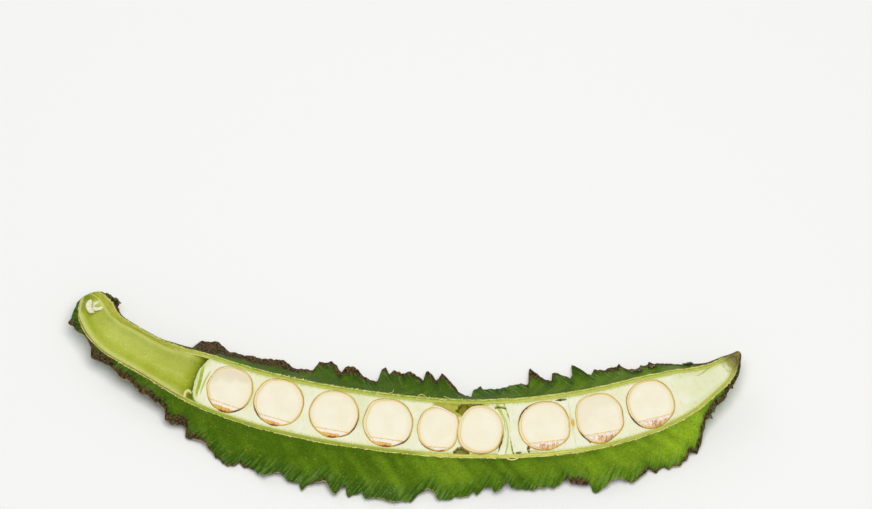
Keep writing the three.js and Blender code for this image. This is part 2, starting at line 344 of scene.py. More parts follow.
def thread(path: Array, radius: Array | float, shade: float, sides: int = 7) -> Solid:
    """A round thread along a path: circles across the path, closed at both ends.

    Args:
        path: points along its middle, n by 3.
        radius: radius at each point, or one for all.
        shade: the number by which its finish picks a colour.
        sides: points round it.

    Returns:
        The body, its faces outwards.
    """
    ahead = np.gradient(path, axis=0)
    ahead /= np.linalg.norm(ahead, axis=1, keepdims=True)
    across = np.cross(ahead, (0.31, 0.17, 0.94))
    across /= np.linalg.norm(across, axis=1, keepdims=True)
    third = np.cross(ahead, across)
    angle = np.arange(sides) * 2 * math.pi / sides
    circle = np.cos(angle)[None, :, None] * across[:, None] + np.sin(angle)[None, :, None] * third[:, None]
    rings = path[:, None] + circle * np.broadcast_to(radius, len(path))[:, None, None]
    return tube(rings, path[0], path[-1], {"wear": np.full(rings.shape, shade)})


# ---- Finishes ----


def linear(colour: str) -> tuple[float, float, float, float]:
    """Turns an sRGB hex colour into linear red, green, blue and a full alpha.

    Args:
        colour: such as "#aabbcc".

    Returns:
        The four values that a colour socket takes.
    """
    parts = [int(colour[k:k + 2], 16) / 255 for k in (1, 3, 5)]
    red, green, blue = (p / 12.92 if p <= 0.04045 else ((p + 0.055) / 1.055) ** 2.4 for p in parts)
    return red, green, blue, 1.0


class Board:
    """The node tree of one material, empty at the start."""

    def __init__(self, name: str) -> None:
        """Makes the material and clears its nodes.

        Args:
            name: name of the material.
        """
        self.material = bpy.data.materials.new(name)
        self.material.use_nodes = True
        self.tree = self.material.node_tree
        self.tree.nodes.clear()

    def add(self, kind: str, *inputs: Any, out: int | str = 0, named: dict[str, Any] | None = None,
            **settings: Any) -> Any:
        """Adds one node, sets it up and links what feeds it.

        Args:
            kind: the node's type, without its leading ShaderNode.
            inputs: a value, a hex colour or an output socket for each input, in the order that the node shows.
            out: which of its shown outputs to hand back, by number, or any by name.
            named: more such inputs, by name.
            settings: properties of the node itself.

        Returns:
            The chosen output socket, or None for a node without outputs.
        """
        node = self.tree.nodes.new("ShaderNode" + kind)
        for key, value in settings.items():
            setattr(node, key, value)
        shown = [socket for socket in node.inputs if socket.enabled]
        fed = [*zip(shown, inputs), *((node.inputs[key], value) for key, value in (named or {}).items())]
        for socket, value in fed:
            if isinstance(value, bpy.types.NodeSocket):
                self.tree.links.new(value, socket)
            else:
                socket.default_value = linear(value) if isinstance(value, str) else value
        if isinstance(out, str):
            return node.outputs[out]
        results = [socket for socket in node.outputs if socket.enabled]
        return results[out] if results else None

    def surface(self, inputs: dict[str, Any]) -> None:
        """Ends the tree with the principled shader, given its inputs by name, and the output."""
        self.add("OutputMaterial", self.add("BsdfPrincipled", named=inputs))

    def parts(self, attribute: str) -> list[Any]:
        """The three parts of a named value at each corner of the mesh."""
        value = self.add("Attribute", out="Vector", attribute_name=attribute)
        return list(self.add("SeparateXYZ", value).node.outputs)

    def millimetres(self) -> Any:
        """The place on the object in millimetres."""
        return self.add("VectorMath", self.add("TexCoord", out="Object"), 1 / MM, operation="SCALE")


COLOUR = {"data_type": "RGBA"}
DARKEN = {"data_type": "RGBA", "blend_type": "MULTIPLY"}
SOFT = {"interpolation_type": "SMOOTHSTEP"}
PLUS, MINUS, TIMES = {"operation": "ADD"}, {"operation": "SUBTRACT"}, {"operation": "MULTIPLY"}
TIMES_PLUS = {"operation": "MULTIPLY_ADD"}
SPREAD = 0.1  # filter width of every bump, in pixels


def juicy(weight: float, radius: tuple[float, float, float], scale: float) -> dict[str, Any]:
    """Shader inputs for light that soaks in: its share, its reach by colour and the reach's scale in mm."""
    return {"Subsurface Weight": weight, "Subsurface Radius": radius, "Subsurface Scale": scale * MM}


@dataclass(frozen=True)
class Finish(ABC):
    """What a surface is made of and how that looks.

    Attributes:
        name: name of the material.
    """

    name: str

    def material(self) -> bpy.types.Material:
        """Makes the material once for each name.

        Returns:
            The Blender material.
        """
        known = bpy.data.materials.get(self.name)
        if known:
            return known
        board = Board(self.name)
        board.surface(self.paint(board))
        return board.material

    @abstractmethod
    def paint(self, b: Board) -> dict[str, Any]:
        """Lays out the nodes that colour the surface.

        Args:
            b: an empty board.

        Returns:
            The shader's inputs by name.
        """


@dataclass(frozen=True)
class FreshSkin(Finish):
    """Living green epidermis over the wings and the belly, dried brown along the torn edges.

    It gives a satin green with pale pores, fine slanted ribs and a duller bloom towards the teeth, a thin
    pale line where the edge is torn, and brown-grey papery tissue where it has dried.
    """

    name: str = "fresh_pod_skin"
    deep: str = "#4f7009"
    light: str = "#abd02e"
    bloom: str = "#6f8c4c"
    cut_line: str = "#9fb638"
    dried_dark: str = "#1c160b"
    dried_light: str = "#77603f"
    torn_edge: str = "#b9ac84"
    rib_pitch: float = 0.4

    def paint(self, b: Board) -> dict[str, Any]:
        """Green by tone, ribs and bloom near the edge, then pores, the cut line, dried tissue and torn lip.

        Args:
            b: an empty board.

        Returns:
            The shader's inputs by name.
        """
        s, t, edge = b.parts("lay")
        dried, tone, side = b.parts("wear")
        slanted = b.add("Math", t, 0.55, s, **TIMES_PLUS)
        grain = b.add("CombineXYZ", slanted, b.add("Math", t, 0.12, **TIMES), side)
        ribs = b.add("TexNoise", grain, 1 / self.rib_pitch, 2.5, 0.6)
        flat = b.add("CombineXYZ", s, t, side)
        clouds = b.add("TexNoise", flat, 0.22, 4.0, 0.6)
        fine = b.add("TexNoise", flat, 2.7, 2.0, 0.7)
        speck = b.add("TexNoise", flat, 2.3, 2.0, 0.75)

        sun = b.add("Math", tone, b.add("MapRange", clouds, 0.3, 0.7, -0.08, 0.08), **PLUS, use_clamp=True)
        green = b.add("Mix", sun, self.deep, self.light, **COLOUR)
        green = b.add("Mix", 1.0, green, b.add("MapRange", fine, 0.3, 0.7, 0.74, 1.26), **DARKEN)
        # Painted shade: the back wing is multiplied by #d2d69a, so it is darker than the front one.
        green = b.add("Mix", b.add("MapRange", side, 0.2, 0.6, 0, 0.85, **SOFT), green, "#d2d69a", **DARKEN)
        near_edge = b.add("MapRange", edge, 5.0, 0.8, **SOFT)
        streak = b.add("MapRange", ribs, 0.38, 0.64)
        worn = b.add("Mix", streak, "#a3b8c2", "#f2ffff", **COLOUR)
        ribbed = b.add("Mix", near_edge, green, worn, **DARKEN)
        bloom = b.add("Math", near_edge, b.add("MapRange", streak, 0.5, 1.0, 0, 0.5), **TIMES)

        # Pores: pale dots about 0.2 mm across, one to each 0.9 mm, drawn a little coarse so that they show.
        pore = b.add("MapRange", b.add("TexVoronoi", flat, 1 / 0.9), 0.2, 0.07, 0, 0.6, **SOFT)
        pores = b.add("Math", pore, b.add("MapRange", fine, 0.45, 0.6), **TIMES)
        near_cut = b.add("MapRange", t, 0.75, 0.15, **SOFT)
        pale = b.add("Math", near_cut, b.add("MapRange", side, 0.2, 0.5, 0, 0.75), **TIMES)
        reach = b.add("Math", dried, b.add("MapRange", fine, 0.25, 0.75, -0.9, 0.9), **PLUS)
        husk = b.add("MapRange", reach, -0.35, 0.5, 0, 0.96, **SOFT)
        shade = b.add("MapRange", b.add("Math", ribs, 0.25, speck, **TIMES_PLUS), 0.52, 0.8)
        papery = b.add("Mix", shade, self.dried_dark, self.dried_light, **COLOUR)
        lip = b.add("MapRange", edge, 0.24, 0.08, **SOFT)
        torn = b.add("Math", lip, b.add("MapRange", clouds, 0.5, 0.58, 0.05, 0.85), **TIMES)
        colour = ribbed
        for mask, over in (
            (bloom, self.bloom), (pores, "#b4cb7c"), (pale, self.cut_line), (husk, papery), (torn, self.torn_edge),
        ):
            colour = b.add("Mix", mask, colour, over, **COLOUR)
        height = b.add("Math", fine, 0.8, ribs, **TIMES_PLUS)
        return {
            "Base Color": colour, "Roughness": b.add("MapRange", husk, 0, 1, 0.52, 0.85), "IOR": 1.4,
            "Specular IOR Level": 0.12, "Normal": b.add("Bump", 0.6, 0.12 * MM, SPREAD, height),
        }


@dataclass(frozen=True)
class SlicedWall(Finish):
    """The cut rim: juicy yellow-green flesh between the lining and a torn cream line of outer skin.

    It gives a moist band, streaked lengthwise by the knife: olive and gold round the empty stalk end, fresh
    yellow-green beside the seeds, with a broken pale outer line and a thin brown line inside it.
    """

    name: str = "sliced_pod_wall"
    inner: str = "#e0d986"
    pale: str = "#d2d45f"
    flesh: str = "#bcc645"
    outer: str = "#96a922"
    front_flesh: str = "#a1b32f"
    neck_ridge_highlight: str = "#e3e284"
    old_flesh: str = "#b6b941"
    old_front: str = "#a29e40"
    brown_line: str = "#75641f"
    torn: str = "#e6dc8c"
    tan: str = "#b08c49"
    browned: str = "#64532f"

    def paint(self, b: Board) -> dict[str, Any]:
        """Bands across the wall, streaks along it, a brown and a broken torn line, brown at the tip.

        Args:
            b: an empty board.

        Returns:
            The shader's inputs by name.
        """
        s, beyond, t = b.parts("lay")
        dried, tone, side = b.parts("wear")
        flat = b.add("CombineXYZ", s, t, side)
        streaks = b.add("TexNoise", b.add("VectorMath", flat, (0.35, 6.0, 3.0), **TIMES), 1.3, 3.0, 0.6)
        broken = b.add("TexNoise", flat, 1.9, 3.0, 0.7)
        grit = b.add("TexNoise", flat, 3.4, 2.0, 0.7)
        wander = b.add("MapRange", streaks, 0.3, 0.7, -0.12, 0.12)
        across = b.add("Math", t, wander, **PLUS)
        old = b.add("MapRange", s, 36.0, 27.0, **SOFT)
        front = b.add("MapRange", side, 0.2, -0.2)
        fresh_front = b.add("Math", front, b.add("MapRange", old, 1.0, 0.0), **TIMES)
        stale = b.add("Math", front, old, **TIMES)
        # In the neck the rim's inner edge takes a painted highlight where it rounds into the hollow at the back;
        # at the front a cream line covers it.
        edge = b.add("Mix", old, self.inner, self.neck_ridge_highlight, **COLOUR)
        body, rind = (b.add("Mix", old, young, self.old_flesh, **COLOUR) for young in (self.flesh, self.outer))
        edge = b.add("Mix", stale, edge, "#f0e7b4", **COLOUR)
        body = b.add("Mix", fresh_front, body, self.front_flesh, **COLOUR)
        body = b.add("Mix", stale, body, self.old_front, **COLOUR)
        band = b.add("Mix", b.add("MapRange", across, 0.02, 0.26, **SOFT), edge, body, **COLOUR)
        band = b.add("Mix", b.add("MapRange", across, 0.42, 0.6, **SOFT), band, rind, **COLOUR)
        band = b.add("Mix", tone, band, self.pale, **COLOUR)
        band = b.add("Mix", 1.0, band, b.add("MapRange", streaks, 0.36, 0.66, 0.72, 1.28), **DARKEN)

        flecked = b.add("MapRange", grit, 0.58, 0.7, 0, 0.6, **SOFT)
        off = b.add("Math", across, b.add("MapRange", old, 0, 1, 0.7, 0.42), **MINUS)
        off = b.add("Math", off, operation="ABSOLUTE")
        brown = b.add("Math", b.add("MapRange", off, 0.13, 0.03, 0, 0.8, **SOFT), front, **TIMES)
        brown = b.add("Math", brown, b.add("MapRange", old, 0, 1, 0.3), **TIMES)
        rim = b.add("MapRange", b.add("Math", beyond, wander, **PLUS), -0.24, -0.12, **SOFT)
        whole = b.add("MapRange", b.add("Math", tone, 0.25, broken, **TIMES_PLUS), 0.42, 0.54)
        line = b.add("Math", rim, whole, **TIMES)
        thread = b.add("Mix", b.add("MapRange", broken, 0.6, 0.7, 0, 0.8), self.torn, self.tan, **COLOUR)
        husk = b.add("MapRange", dried, -0.6, 0.8, 0, 0.9, **SOFT)
        for mask, over in ((flecked, "#e6e09c"), (brown, self.brown_line), (line, thread), (husk, self.browned)):
            band = b.add("Mix", mask, band, over, **COLOUR)
        return {
            "Base Color": band, "Roughness": 0.38, "Normal": b.add("Bump", 0.8, 0.1 * MM, SPREAD, streaks),
            "IOR": 1.38, "Specular IOR Level": 0.35, **juicy(0.15, (0.8, 1.0, 0.25), 0.4),
        }


@dataclass(frozen=True)
class HollowLining(Finish):
    """The smooth inner skin of the hollow: moist, yellow-green, with faint lengthwise veins.

    It gives a soft satin sheen with tiny pale specks and a paler lip, clouded from a painted shade colour to a
    painted light colour by its tone: a painted highlight by the back rim, painted shade by the pith.
    """

    name: str = "hollow_lining"
    base: str = "#aab536"
    sunny: str = "#dae27c"
    shaded: str = "#7c8a1c"
    cut: str = "#d2d06c"
    browned: str = "#6b5136"

    def paint(self, b: Board) -> dict[str, Any]:
        """Clouded from painted shade to painted light by tone, veined and mottled, paler at the lip, specked,
        brown at the ends.

        Args:
            b: an empty board.

        Returns:
            The shader's inputs by name.
        """
        s, _, t = b.parts("lay")
        dried, tone, side = b.parts("wear")
        place = b.millimetres()
        pulled = b.add("VectorMath", b.add("CombineXYZ", s, t, side), (0.18, 1.8, 1.0), **TIMES)
        veins = b.add("TexNoise", pulled, 1.0, 3.0, 0.6)
        clouds = b.add("TexNoise", place, 0.3, 4.0, 0.6)
        fine = b.add("TexNoise", place, 3.2, 2.0, 0.6)
        # Tone picks between the shaded, base and sunny colours: painted shade and painted light, worked out in
        # PodWall.hollow.
        sun = b.add("Math", tone, b.add("MapRange", clouds, 0.3, 0.7, -0.07, 0.07), **PLUS, use_clamp=True)
        colour = b.add("Mix", b.add("MapRange", sun, 0.0, 0.5), self.shaded, self.base, **COLOUR)
        colour = b.add("Mix", b.add("MapRange", sun, 0.5, 1.0), colour, self.sunny, **COLOUR)
        for grain, less in ((veins, 0.025), (fine, 0.07)):
            colour = b.add("Mix", 1.0, colour, b.add("MapRange", grain, 0.3, 0.7, 1 - less, 1 + less), **DARKEN)
        lip = b.add("MapRange", t, -0.55, -0.05, 0, 0.75, **SOFT)
        # Specks 0.25 mm across, one to each 0.85 mm, drawn a little coarse so that they show.
        speck = b.add("MapRange", b.add("TexVoronoi", place, 1 / 0.85), 0.21, 0.08, 0, 0.5, **SOFT)
        husk = b.add("MapRange", dried, -1.2, 0.8, 0, 0.85, **SOFT)
        for mask, over in ((lip, self.cut), (speck, "#ecebb8"), (husk, self.browned)):
            colour = b.add("Mix", mask, colour, over, **COLOUR)
        height = b.add("Math", fine, 0.6, veins, **TIMES_PLUS)
        return {
            "Base Color": colour, "Roughness": 0.42, "Normal": b.add("Bump", 0.4, 0.1 * MM, SPREAD, height),
            "IOR": 1.4, "Specular IOR Level": 0.25, **juicy(0.15, (0.8, 1.0, 0.2), 0.6),
        }


@dataclass(frozen=True)
class SpongyPith(Finish):
    """White cottony pith, sliced: soft and matt, a little green by the pod wall and in its folds.

    It gives a bright diffuse white with faint fibres, painted shade in its pits, and yellow-green stripes where it
    tore.
    """

    name: str = "sliced_spongy_pith"
    white: str = "#f3f3db"
    cream: str = "#eeedc9"
    green: str = "#bccb60"
    stripe: str = "#b7c832"
    gold: str = "#ddb014"
    hollow: str = "#857e16"
    browned: str = "#64532f"

    def paint(self, b: Board) -> dict[str, Any]:
        """White to cream clouds, greener by the wall and in stripes, gold, shaded in holes, brown at the tip.

        Args:
            b: an empty board.

        Returns:
            The shader's inputs by name.
        """
        s, wall, depth = b.parts("lay")
        stripe, tint, brown = b.parts("wear")
        gold, shade, _ = b.parts("mark")
        place = b.millimetres()
        pulled = b.add("VectorMath", b.add("CombineXYZ", s, wall, depth), (2.1, 0.45, 0.6), **TIMES)
        fibres = b.add("TexNoise", pulled, 1.0, 4.0, 0.65, 2.0, 0.5)
        clouds = b.add("TexNoise", place, 0.3, 2.0)
        drift = b.add("MapRange", fibres, 0.3, 0.7, -0.4, 0.4)
        thready = b.add("MapRange", fibres, 0.52, 0.72, 0, 0.4, **SOFT)
        flush = b.add("MapRange", b.add("Math", wall, drift, **PLUS), 0.75, 0.05, 0, 0.7, **SOFT)
        amount = b.add("Math", flush, tint, operation="MAXIMUM")
        band, golden, husk = (
            b.add("Math", drift, part, value, **TIMES_PLUS, use_clamp=True)
            for part, value in ((0.4, stripe), (0.8, gold), (0.4, brown))
        )
        band = b.add("MapRange", band, 0.25, 0.85, 0, 0.9, **SOFT)
        golden = b.add("MapRange", golden, 0.2, 0.8, 0, 0.9, **SOFT)
        husk = b.add("MapRange", husk, 0.05, 0.95, **SOFT)
        early = b.add("MapRange", husk, 0, 0.35)
        olive = b.add("Mix", b.add("MapRange", husk, 0.35, 1.0), "#a8aa52", self.browned, **COLOUR)
        # Pits: small dots painted darker green as painted shade in the pits of the sponge.
        pits = b.add("MapRange", b.add("TexVoronoi", place, 1.3), 0.16, 0.05, 0, 0.35, **SOFT)
        colour = b.add("Mix", b.add("MapRange", clouds, 0.35, 0.65), self.white, self.cream, **COLOUR)
        for mask, over in (
            (thready, "#d3dc96"), (amount, self.green), (band, self.stripe), (golden, self.gold),
            (shade, self.hollow), (pits, "#b9c070"), (early, olive),
        ):
            colour = b.add("Mix", mask, colour, over, **COLOUR)
        height = b.add("Math", b.add("TexVoronoi", place, 2.2), 0.5, fibres, **TIMES_PLUS)
        return {
            "Base Color": colour, "Roughness": 0.68, "Normal": b.add("Bump", 0.5, 0.12 * MM, SPREAD, height),
            "IOR": 1.38, **juicy(0.15, (1.0, 1.0, 0.6), 0.5),
        }


@dataclass(frozen=True)
class DriedScrap(Finish):
    """Papery brown tissue: shrivelled skin that dried after the cut.

    It gives a dull mottled brown, paler where its bump rises and brown-black where it falls.
    """

    name: str = "dried_skin_scrap"
    dark: str = "#2a2213"
    light: str = "#8b8159"

    def paint(self, b: Board) -> dict[str, Any]:
        """Brown by a speckled noise of 0.4 mm.

        Args:
            b: an empty board.

        Returns:
            The shader's inputs by name.
        """
        fine = b.add("TexNoise", b.millimetres(), 2.5, 3.0, 0.7)
        colour = b.add("Mix", b.add("MapRange", fine, 0.35, 0.68), self.dark, self.light, **COLOUR)
        bump = b.add("Bump", 0.8, 0.15 * MM, SPREAD, fine)
        return {"Base Color": colour, "Roughness": 0.8, "Normal": bump, "IOR": 1.4}


@dataclass(frozen=True)
class TornSkin(Finish):
    """Slivers of outer skin and fibre, torn up by the knife and dried pale.

    It gives small bright cream and yellow-green chips that catch the light along the cut.
    """

    name: str = "torn_pale_skin"
    pale: str = "#eae094"
    green: str = "#c3c65c"
    tan: str = "#b48d4c"

    def paint(self, b: Board) -> dict[str, Any]:
        """One colour for each chip, by a number that it carries, with a little mottling.

        Args:
            b: an empty board.

        Returns:
            The shader's inputs by name.
        """
        pick = b.parts("wear")[0]
        fine = b.add("TexNoise", b.millimetres(), 4.0, 2.0)
        colour = self.pale
        for low, high, over in ((0.45, 0.8, self.green), (0.86, 0.92, self.tan)):
            colour = b.add("Mix", b.add("MapRange", pick, low, high, **SOFT), colour, over, **COLOUR)
        colour = b.add("Mix", 1.0, colour, b.add("MapRange", fine, 0.3, 0.7, 0.85, 1.1), **DARKEN)
        return {"Base Color": colour, "Roughness": 0.5, "IOR": 1.4}


@dataclass(frozen=True)
class CutSeed(Finish):
    """A ripening bean cut across: starchy cream cotyledon inside a thin golden-brown coat.

    It gives a smooth moist cream face, a golden rim line that darkens in places, a fainter line inside it
    where the coat is thick, and at the front the pale hilum with its honey to red-brown scar.
    """

    name: str = "cut_bean_cotyledon"
    cream: str = "#f8f2dc"
    warm: str = "#efe1b8"
    # Painted shade on the facets that the knife left at another angle.
    facet: str = "#ebe0c4"
    coat: str = "#cfa90c"
    coat_dark: str = "#5e3f06"
    hilum: str = "#f6ede0"
    honey: str = "#e0ab14"
    scar_dark: str = "#8a3305"
    streak: str = "#c07a38"

    def paint(self, b: Board) -> dict[str, Any]:
        """Cream, painted shade on facets, hilum band and scar, then the coat lines along the outline.

        Args:
            b: an empty board.

        Returns:
            The shader's inputs by name.
        """
        a, across, inside = b.parts("lay")
        below, patch, ripe = b.parts("wear")
        facet, dark, coat_width = b.parts("mark")
        place = b.millimetres()
        fine = b.add("TexNoise", place, 2.6, 4.0, 0.65)
        clouds = b.add("TexNoise", place, 0.3, 2.0)
        drift = b.add("MapRange", fine, 0.3, 0.7, -0.12, 0.12)
        soft = b.add("MapRange", clouds, 0.35, 0.75, 0, 0.4)
        halo = b.add("MapRange", inside, 2.0, 0.5, 0, 0.6, **SOFT)
        warmth = b.add("Math", soft, halo, operation="MAXIMUM")

        under = b.add("Math", below, drift, **PLUS)
        zone = b.add("MapRange", under, 0.05, 0.2, **SOFT)
        streaky = b.add("VectorMath", b.add("CombineXYZ", a, across, ripe), (2.0, 0.75, 5.0), **TIMES)
        blotch = b.add("TexNoise", streaky, 1.0, 3.0, 0.6)
        banded = b.add("Math", b.add("MapRange", blotch, 0.47, 0.6, 0, 0.85, **SOFT), ripe, **TIMES)
        upper = b.add("MapRange", under, -0.17, -0.03, **SOFT)
        lower = b.add("MapRange", under, 0.13, 0.01, 0, 0.9, **SOFT)
        crease = b.add("Math", upper, lower, **TIMES)
        crease = b.add("Math", crease, b.add("MapRange", blotch, 0.36, 0.52, 0.3), **TIMES)
        stain = b.add("Math", drift, 2.0, b.add("MapRange", blotch, 0.35, 0.65, -0.3, 0.3), **TIMES_PLUS)
        stained = b.add("Math", patch, stain, **PLUS)
        fainter = b.add("MapRange", ripe, 0, 1, 1.0, 0.5)
        honeyed, deep = (
            b.add("Math", b.add("MapRange", stained, low, high, 0, 0.92, **SOFT), fainter, **TIMES)
            for low, high in ((0.3, 0.75), (1.1, 1.55))
        )

        # The hard part of the coat is 0.15 to 0.3 mm thick, and the soft part under it up to 0.8 mm.
        gap = b.add("Math", inside, coat_width, **MINUS)
        off = b.add("Math", b.add("Math", drift, 0.5, gap, **TIMES_PLUS), operation="ABSOLUTE")
        line = b.add("MapRange", off, 0.15, 0.04, 0, 0.65, **SOFT)
        outside = b.add("MapRange", gap, 0.05, -0.1, 0, 0.45, **SOFT)
        width = b.add("MapRange", dark, 0, 1, 0.19, 0.34)
        beyond = b.add("Math", b.add("Math", drift, 0.7, inside, **TIMES_PLUS), width, operation="DIVIDE")
        ring = b.add("MapRange", beyond, 1.3, 0.85, **SOFT)
        ring = b.add("Math", ring, b.add("MapRange", dark, -0.6, 0.0, 0.3), **TIMES)
        tone = b.add("Math", drift, 2.2, dark, **TIMES_PLUS, use_clamp=True)
        coat = b.add("Mix", tone, self.coat, self.coat_dark, **COLOUR)
        colour = self.cream
        for mask, over in (
            (warmth, self.warm), (facet, self.facet), (zone, self.hilum), (banded, self.streak),
            (crease, "#e2b01c"), (honeyed, self.honey), (line, "#e2b42e"), (outside, "#f0dca4"), (ring, coat),
            (deep, self.scar_dark),
        ):
            colour = b.add("Mix", mask, colour, over, **COLOUR)
        return {
            "Base Color": colour, "Roughness": b.add("MapRange", fine, 0, 1, 0.38, 0.5), "IOR": 1.42,
            "Normal": b.add("Bump", 0.25, 0.05 * MM, SPREAD, fine), **juicy(0.1, (0.8, 0.7, 0.5), 0.4),
        }


# ---- The forms that several pieces share ----


@dataclass
class Spine:
    """The middle line of the cut face: a uniform Catmull-Rom curve, measured by its length.

    Attributes:
        knots: points that the curve passes, as x and y.
        height: height of the cut face.
        line: points along the curve.
        reached: distance from the stalk end to each of them.
        ahead: unit direction of the curve at each of them.
        steps: points to a span of the curve.
        length: the whole length.
    """

    knots: Knots = SPINE_KNOTS
    height: float = CUT_HEIGHT
    steps: int = 500
    line: Array = field(init=False)
    reached: Array = field(init=False)
    ahead: Array = field(init=False)
    length: float = field(init=False)

    def __post_init__(self) -> None:
        """Draws the curve through the knots and measures it."""
        p = np.array(self.knots)
        p = np.vstack([2 * p[0] - p[1], p, 2 * p[-1] - p[-2]])
        t = np.linspace(0, 1, self.steps, endpoint=False)[None, :, None]
        run = catmull(p[:-3, None], p[1:-2, None], p[2:-1, None], p[3:, None], t)
        self.line = np.vstack([run.reshape(-1, 2), p[-2]])
        self.reached = np.concatenate([[0], np.cumsum(np.hypot(*np.diff(self.line, axis=0).T))])
        ahead = np.gradient(self.line, self.reached, axis=0)
        self.ahead = ahead / np.linalg.norm(ahead, axis=1, keepdims=True)
        self.length = float(self.reached[-1])

    def at(self, s: Array) -> tuple[Array, Array, Array, Array]:
        """Where the spine is and where it points.

        Args:
            s: distances from the stalk end; beyond an end the curve goes on straight.

        Returns:
            x, y and the two parts of the direction.
        """
        on = np.clip(s, 0, self.length)
        tx, ty = (np.interp(on, self.reached, self.ahead[:, k]) for k in (0, 1))
        x, y = (np.interp(on, self.reached, self.line[:, k]) for k in (0, 1))
        return x + (s - on) * tx, y + (s - on) * ty, tx, ty

    def place(self, s: Array, u: Array, v: Array) -> Array:
        """Points at s along, u across and v above the cut face.

        Args:
            s: distance along the spine.
            u: distance across it.
            v: height above the cut face.

        Returns:
            Points with x, y and z last.
        """
        x, y, tx, ty = self.at(np.asarray(s, float))
        return vectors(x - u * ty, y + u * tx, self.height + v)


@dataclass
class PodForm:
    """Widths, depths and walls of the pod along its spine.

    Attributes:
        spine: the middle line.
        half_width: half the width of the cut face.
        belly: depth of the belly below the cut face.
        drift: how far the pod's middle lies off the spine.
        back_rim: width of the cut wall at the back.
        front_rim: width of the cut wall at the front.
        belly_wall: thickness under the seeds.
    """

    spine: Spine
    half_width: Knots = (
        (0, 2.6), (1, 3.4), (3, 4.15), (5, 4.45), (8.5, 4.5), (12, 4.7), (20, 4.8), (25, 5.2), (30, 5.95),
        (34, 6.45), (45, 6.8), (57, 6.95), (80, 7), (96, 7), (107, 7.15), (117, 7.3), (129, 7.2), (136, 6.95),
        (140, 6.5), (145, 5.7), (148, 4.8), (150, 4.2), (153, 3.4), (155, 2.95), (157, 2.25), (158.5, 1.45),
        (160.2, 0.55), (161, 0.4),
    )
    belly: Knots = (
        (0, 1.8), (1.5, 2.9), (4, 3.8), (8.5, 4.4), (20, 5.2), (30, 6.2), (40, 7.2), (48, 7.7), (121, 7.7),
        (134, 7.2), (140.5, 6.6), (146, 5.4), (153, 3.8), (157.5, 2.5), (161, 0.8),
    )
    drift: Knots = (
        (0, 0.5), (3, 0.35), (8, 0.22), (15, 0.12), (22, 0), (30, 0), (45, 0.3), (95, 0.3), (112, 0),
        (125, -0.15), (140, -0.4), (145, -0.55), (148, -0.8), (150, -1), (153, -1.15), (155, -1), (157, -0.7),
        (158.5, -0.5), (160.2, -0.1),
    )
    back_rim: Knots = (
        (0, 1.6), (3, 1.9), (6, 1.75), (8, 1.3), (10, 1.2), (15, 0.95), (20, 1), (24, 1.1), (28, 1), (32, 1),
        (90, 1),
    )
    front_rim: Knots = (
        (0, 0.5), (3, 0.5), (5, 0.7), (9, 0.65), (15, 0.7), (20, 0.8), (25, 0.75), (29, 0.85), (32, 1),
        (90, 1),
    )
    belly_wall: float = 1.2

    def sway(self, s: Array) -> Array:
        """How far the pod's middle lies off the spine at s."""
        return follow(self.drift, s)

    def half(self, s: Array) -> Array:
        """Half the width of the cut face at s."""
        return follow(self.half_width, s)

    def inside(self, s: Array) -> Array:
        """Half the width of the hollow at the cut face: less the mean rim, never under 0.55 of the half width."""
        half = self.half(s)
        return np.maximum(half - 0.5 * (follow(self.back_rim, s) + follow(self.front_rim, s)), 0.55 * half)

    def lean(self, s: Array) -> Array:
        """How far the hollow's middle lies off the pod's: half the front rim's width less the back rim's."""
        return 0.5 * (follow(self.front_rim, s) - follow(self.back_rim, s))

    def depth(self, s: Array) -> Array:
        """Depth of the hollow: the belly less its wall, easing to nothing at both ends."""
        opening = ease(0.8, 4, s) * (1 - ease(154, 160.2, s))
        return opening * np.maximum(np.minimum(follow(self.belly, s), CUT_HEIGHT) - self.belly_wall, 0)

    def wall(self, s: Array, angle: Array) -> tuple[Array, Array]:
        """A superellipse: across as cos^(2/2.4) and down as sin^(2/2.4) of the angle.

        Args:
            s: distance along the spine.
            angle: 0 at the back rim, pi at the front rim.

        Returns:
            Across and height of the points on the wall.
        """
        across, down = np.cos(angle), np.abs(np.sin(angle)) ** (2 / SQUARENESS)
        return self.inside(s) * np.sign(across) * np.abs(across) ** (2 / SQUARENESS), -self.depth(s) * down


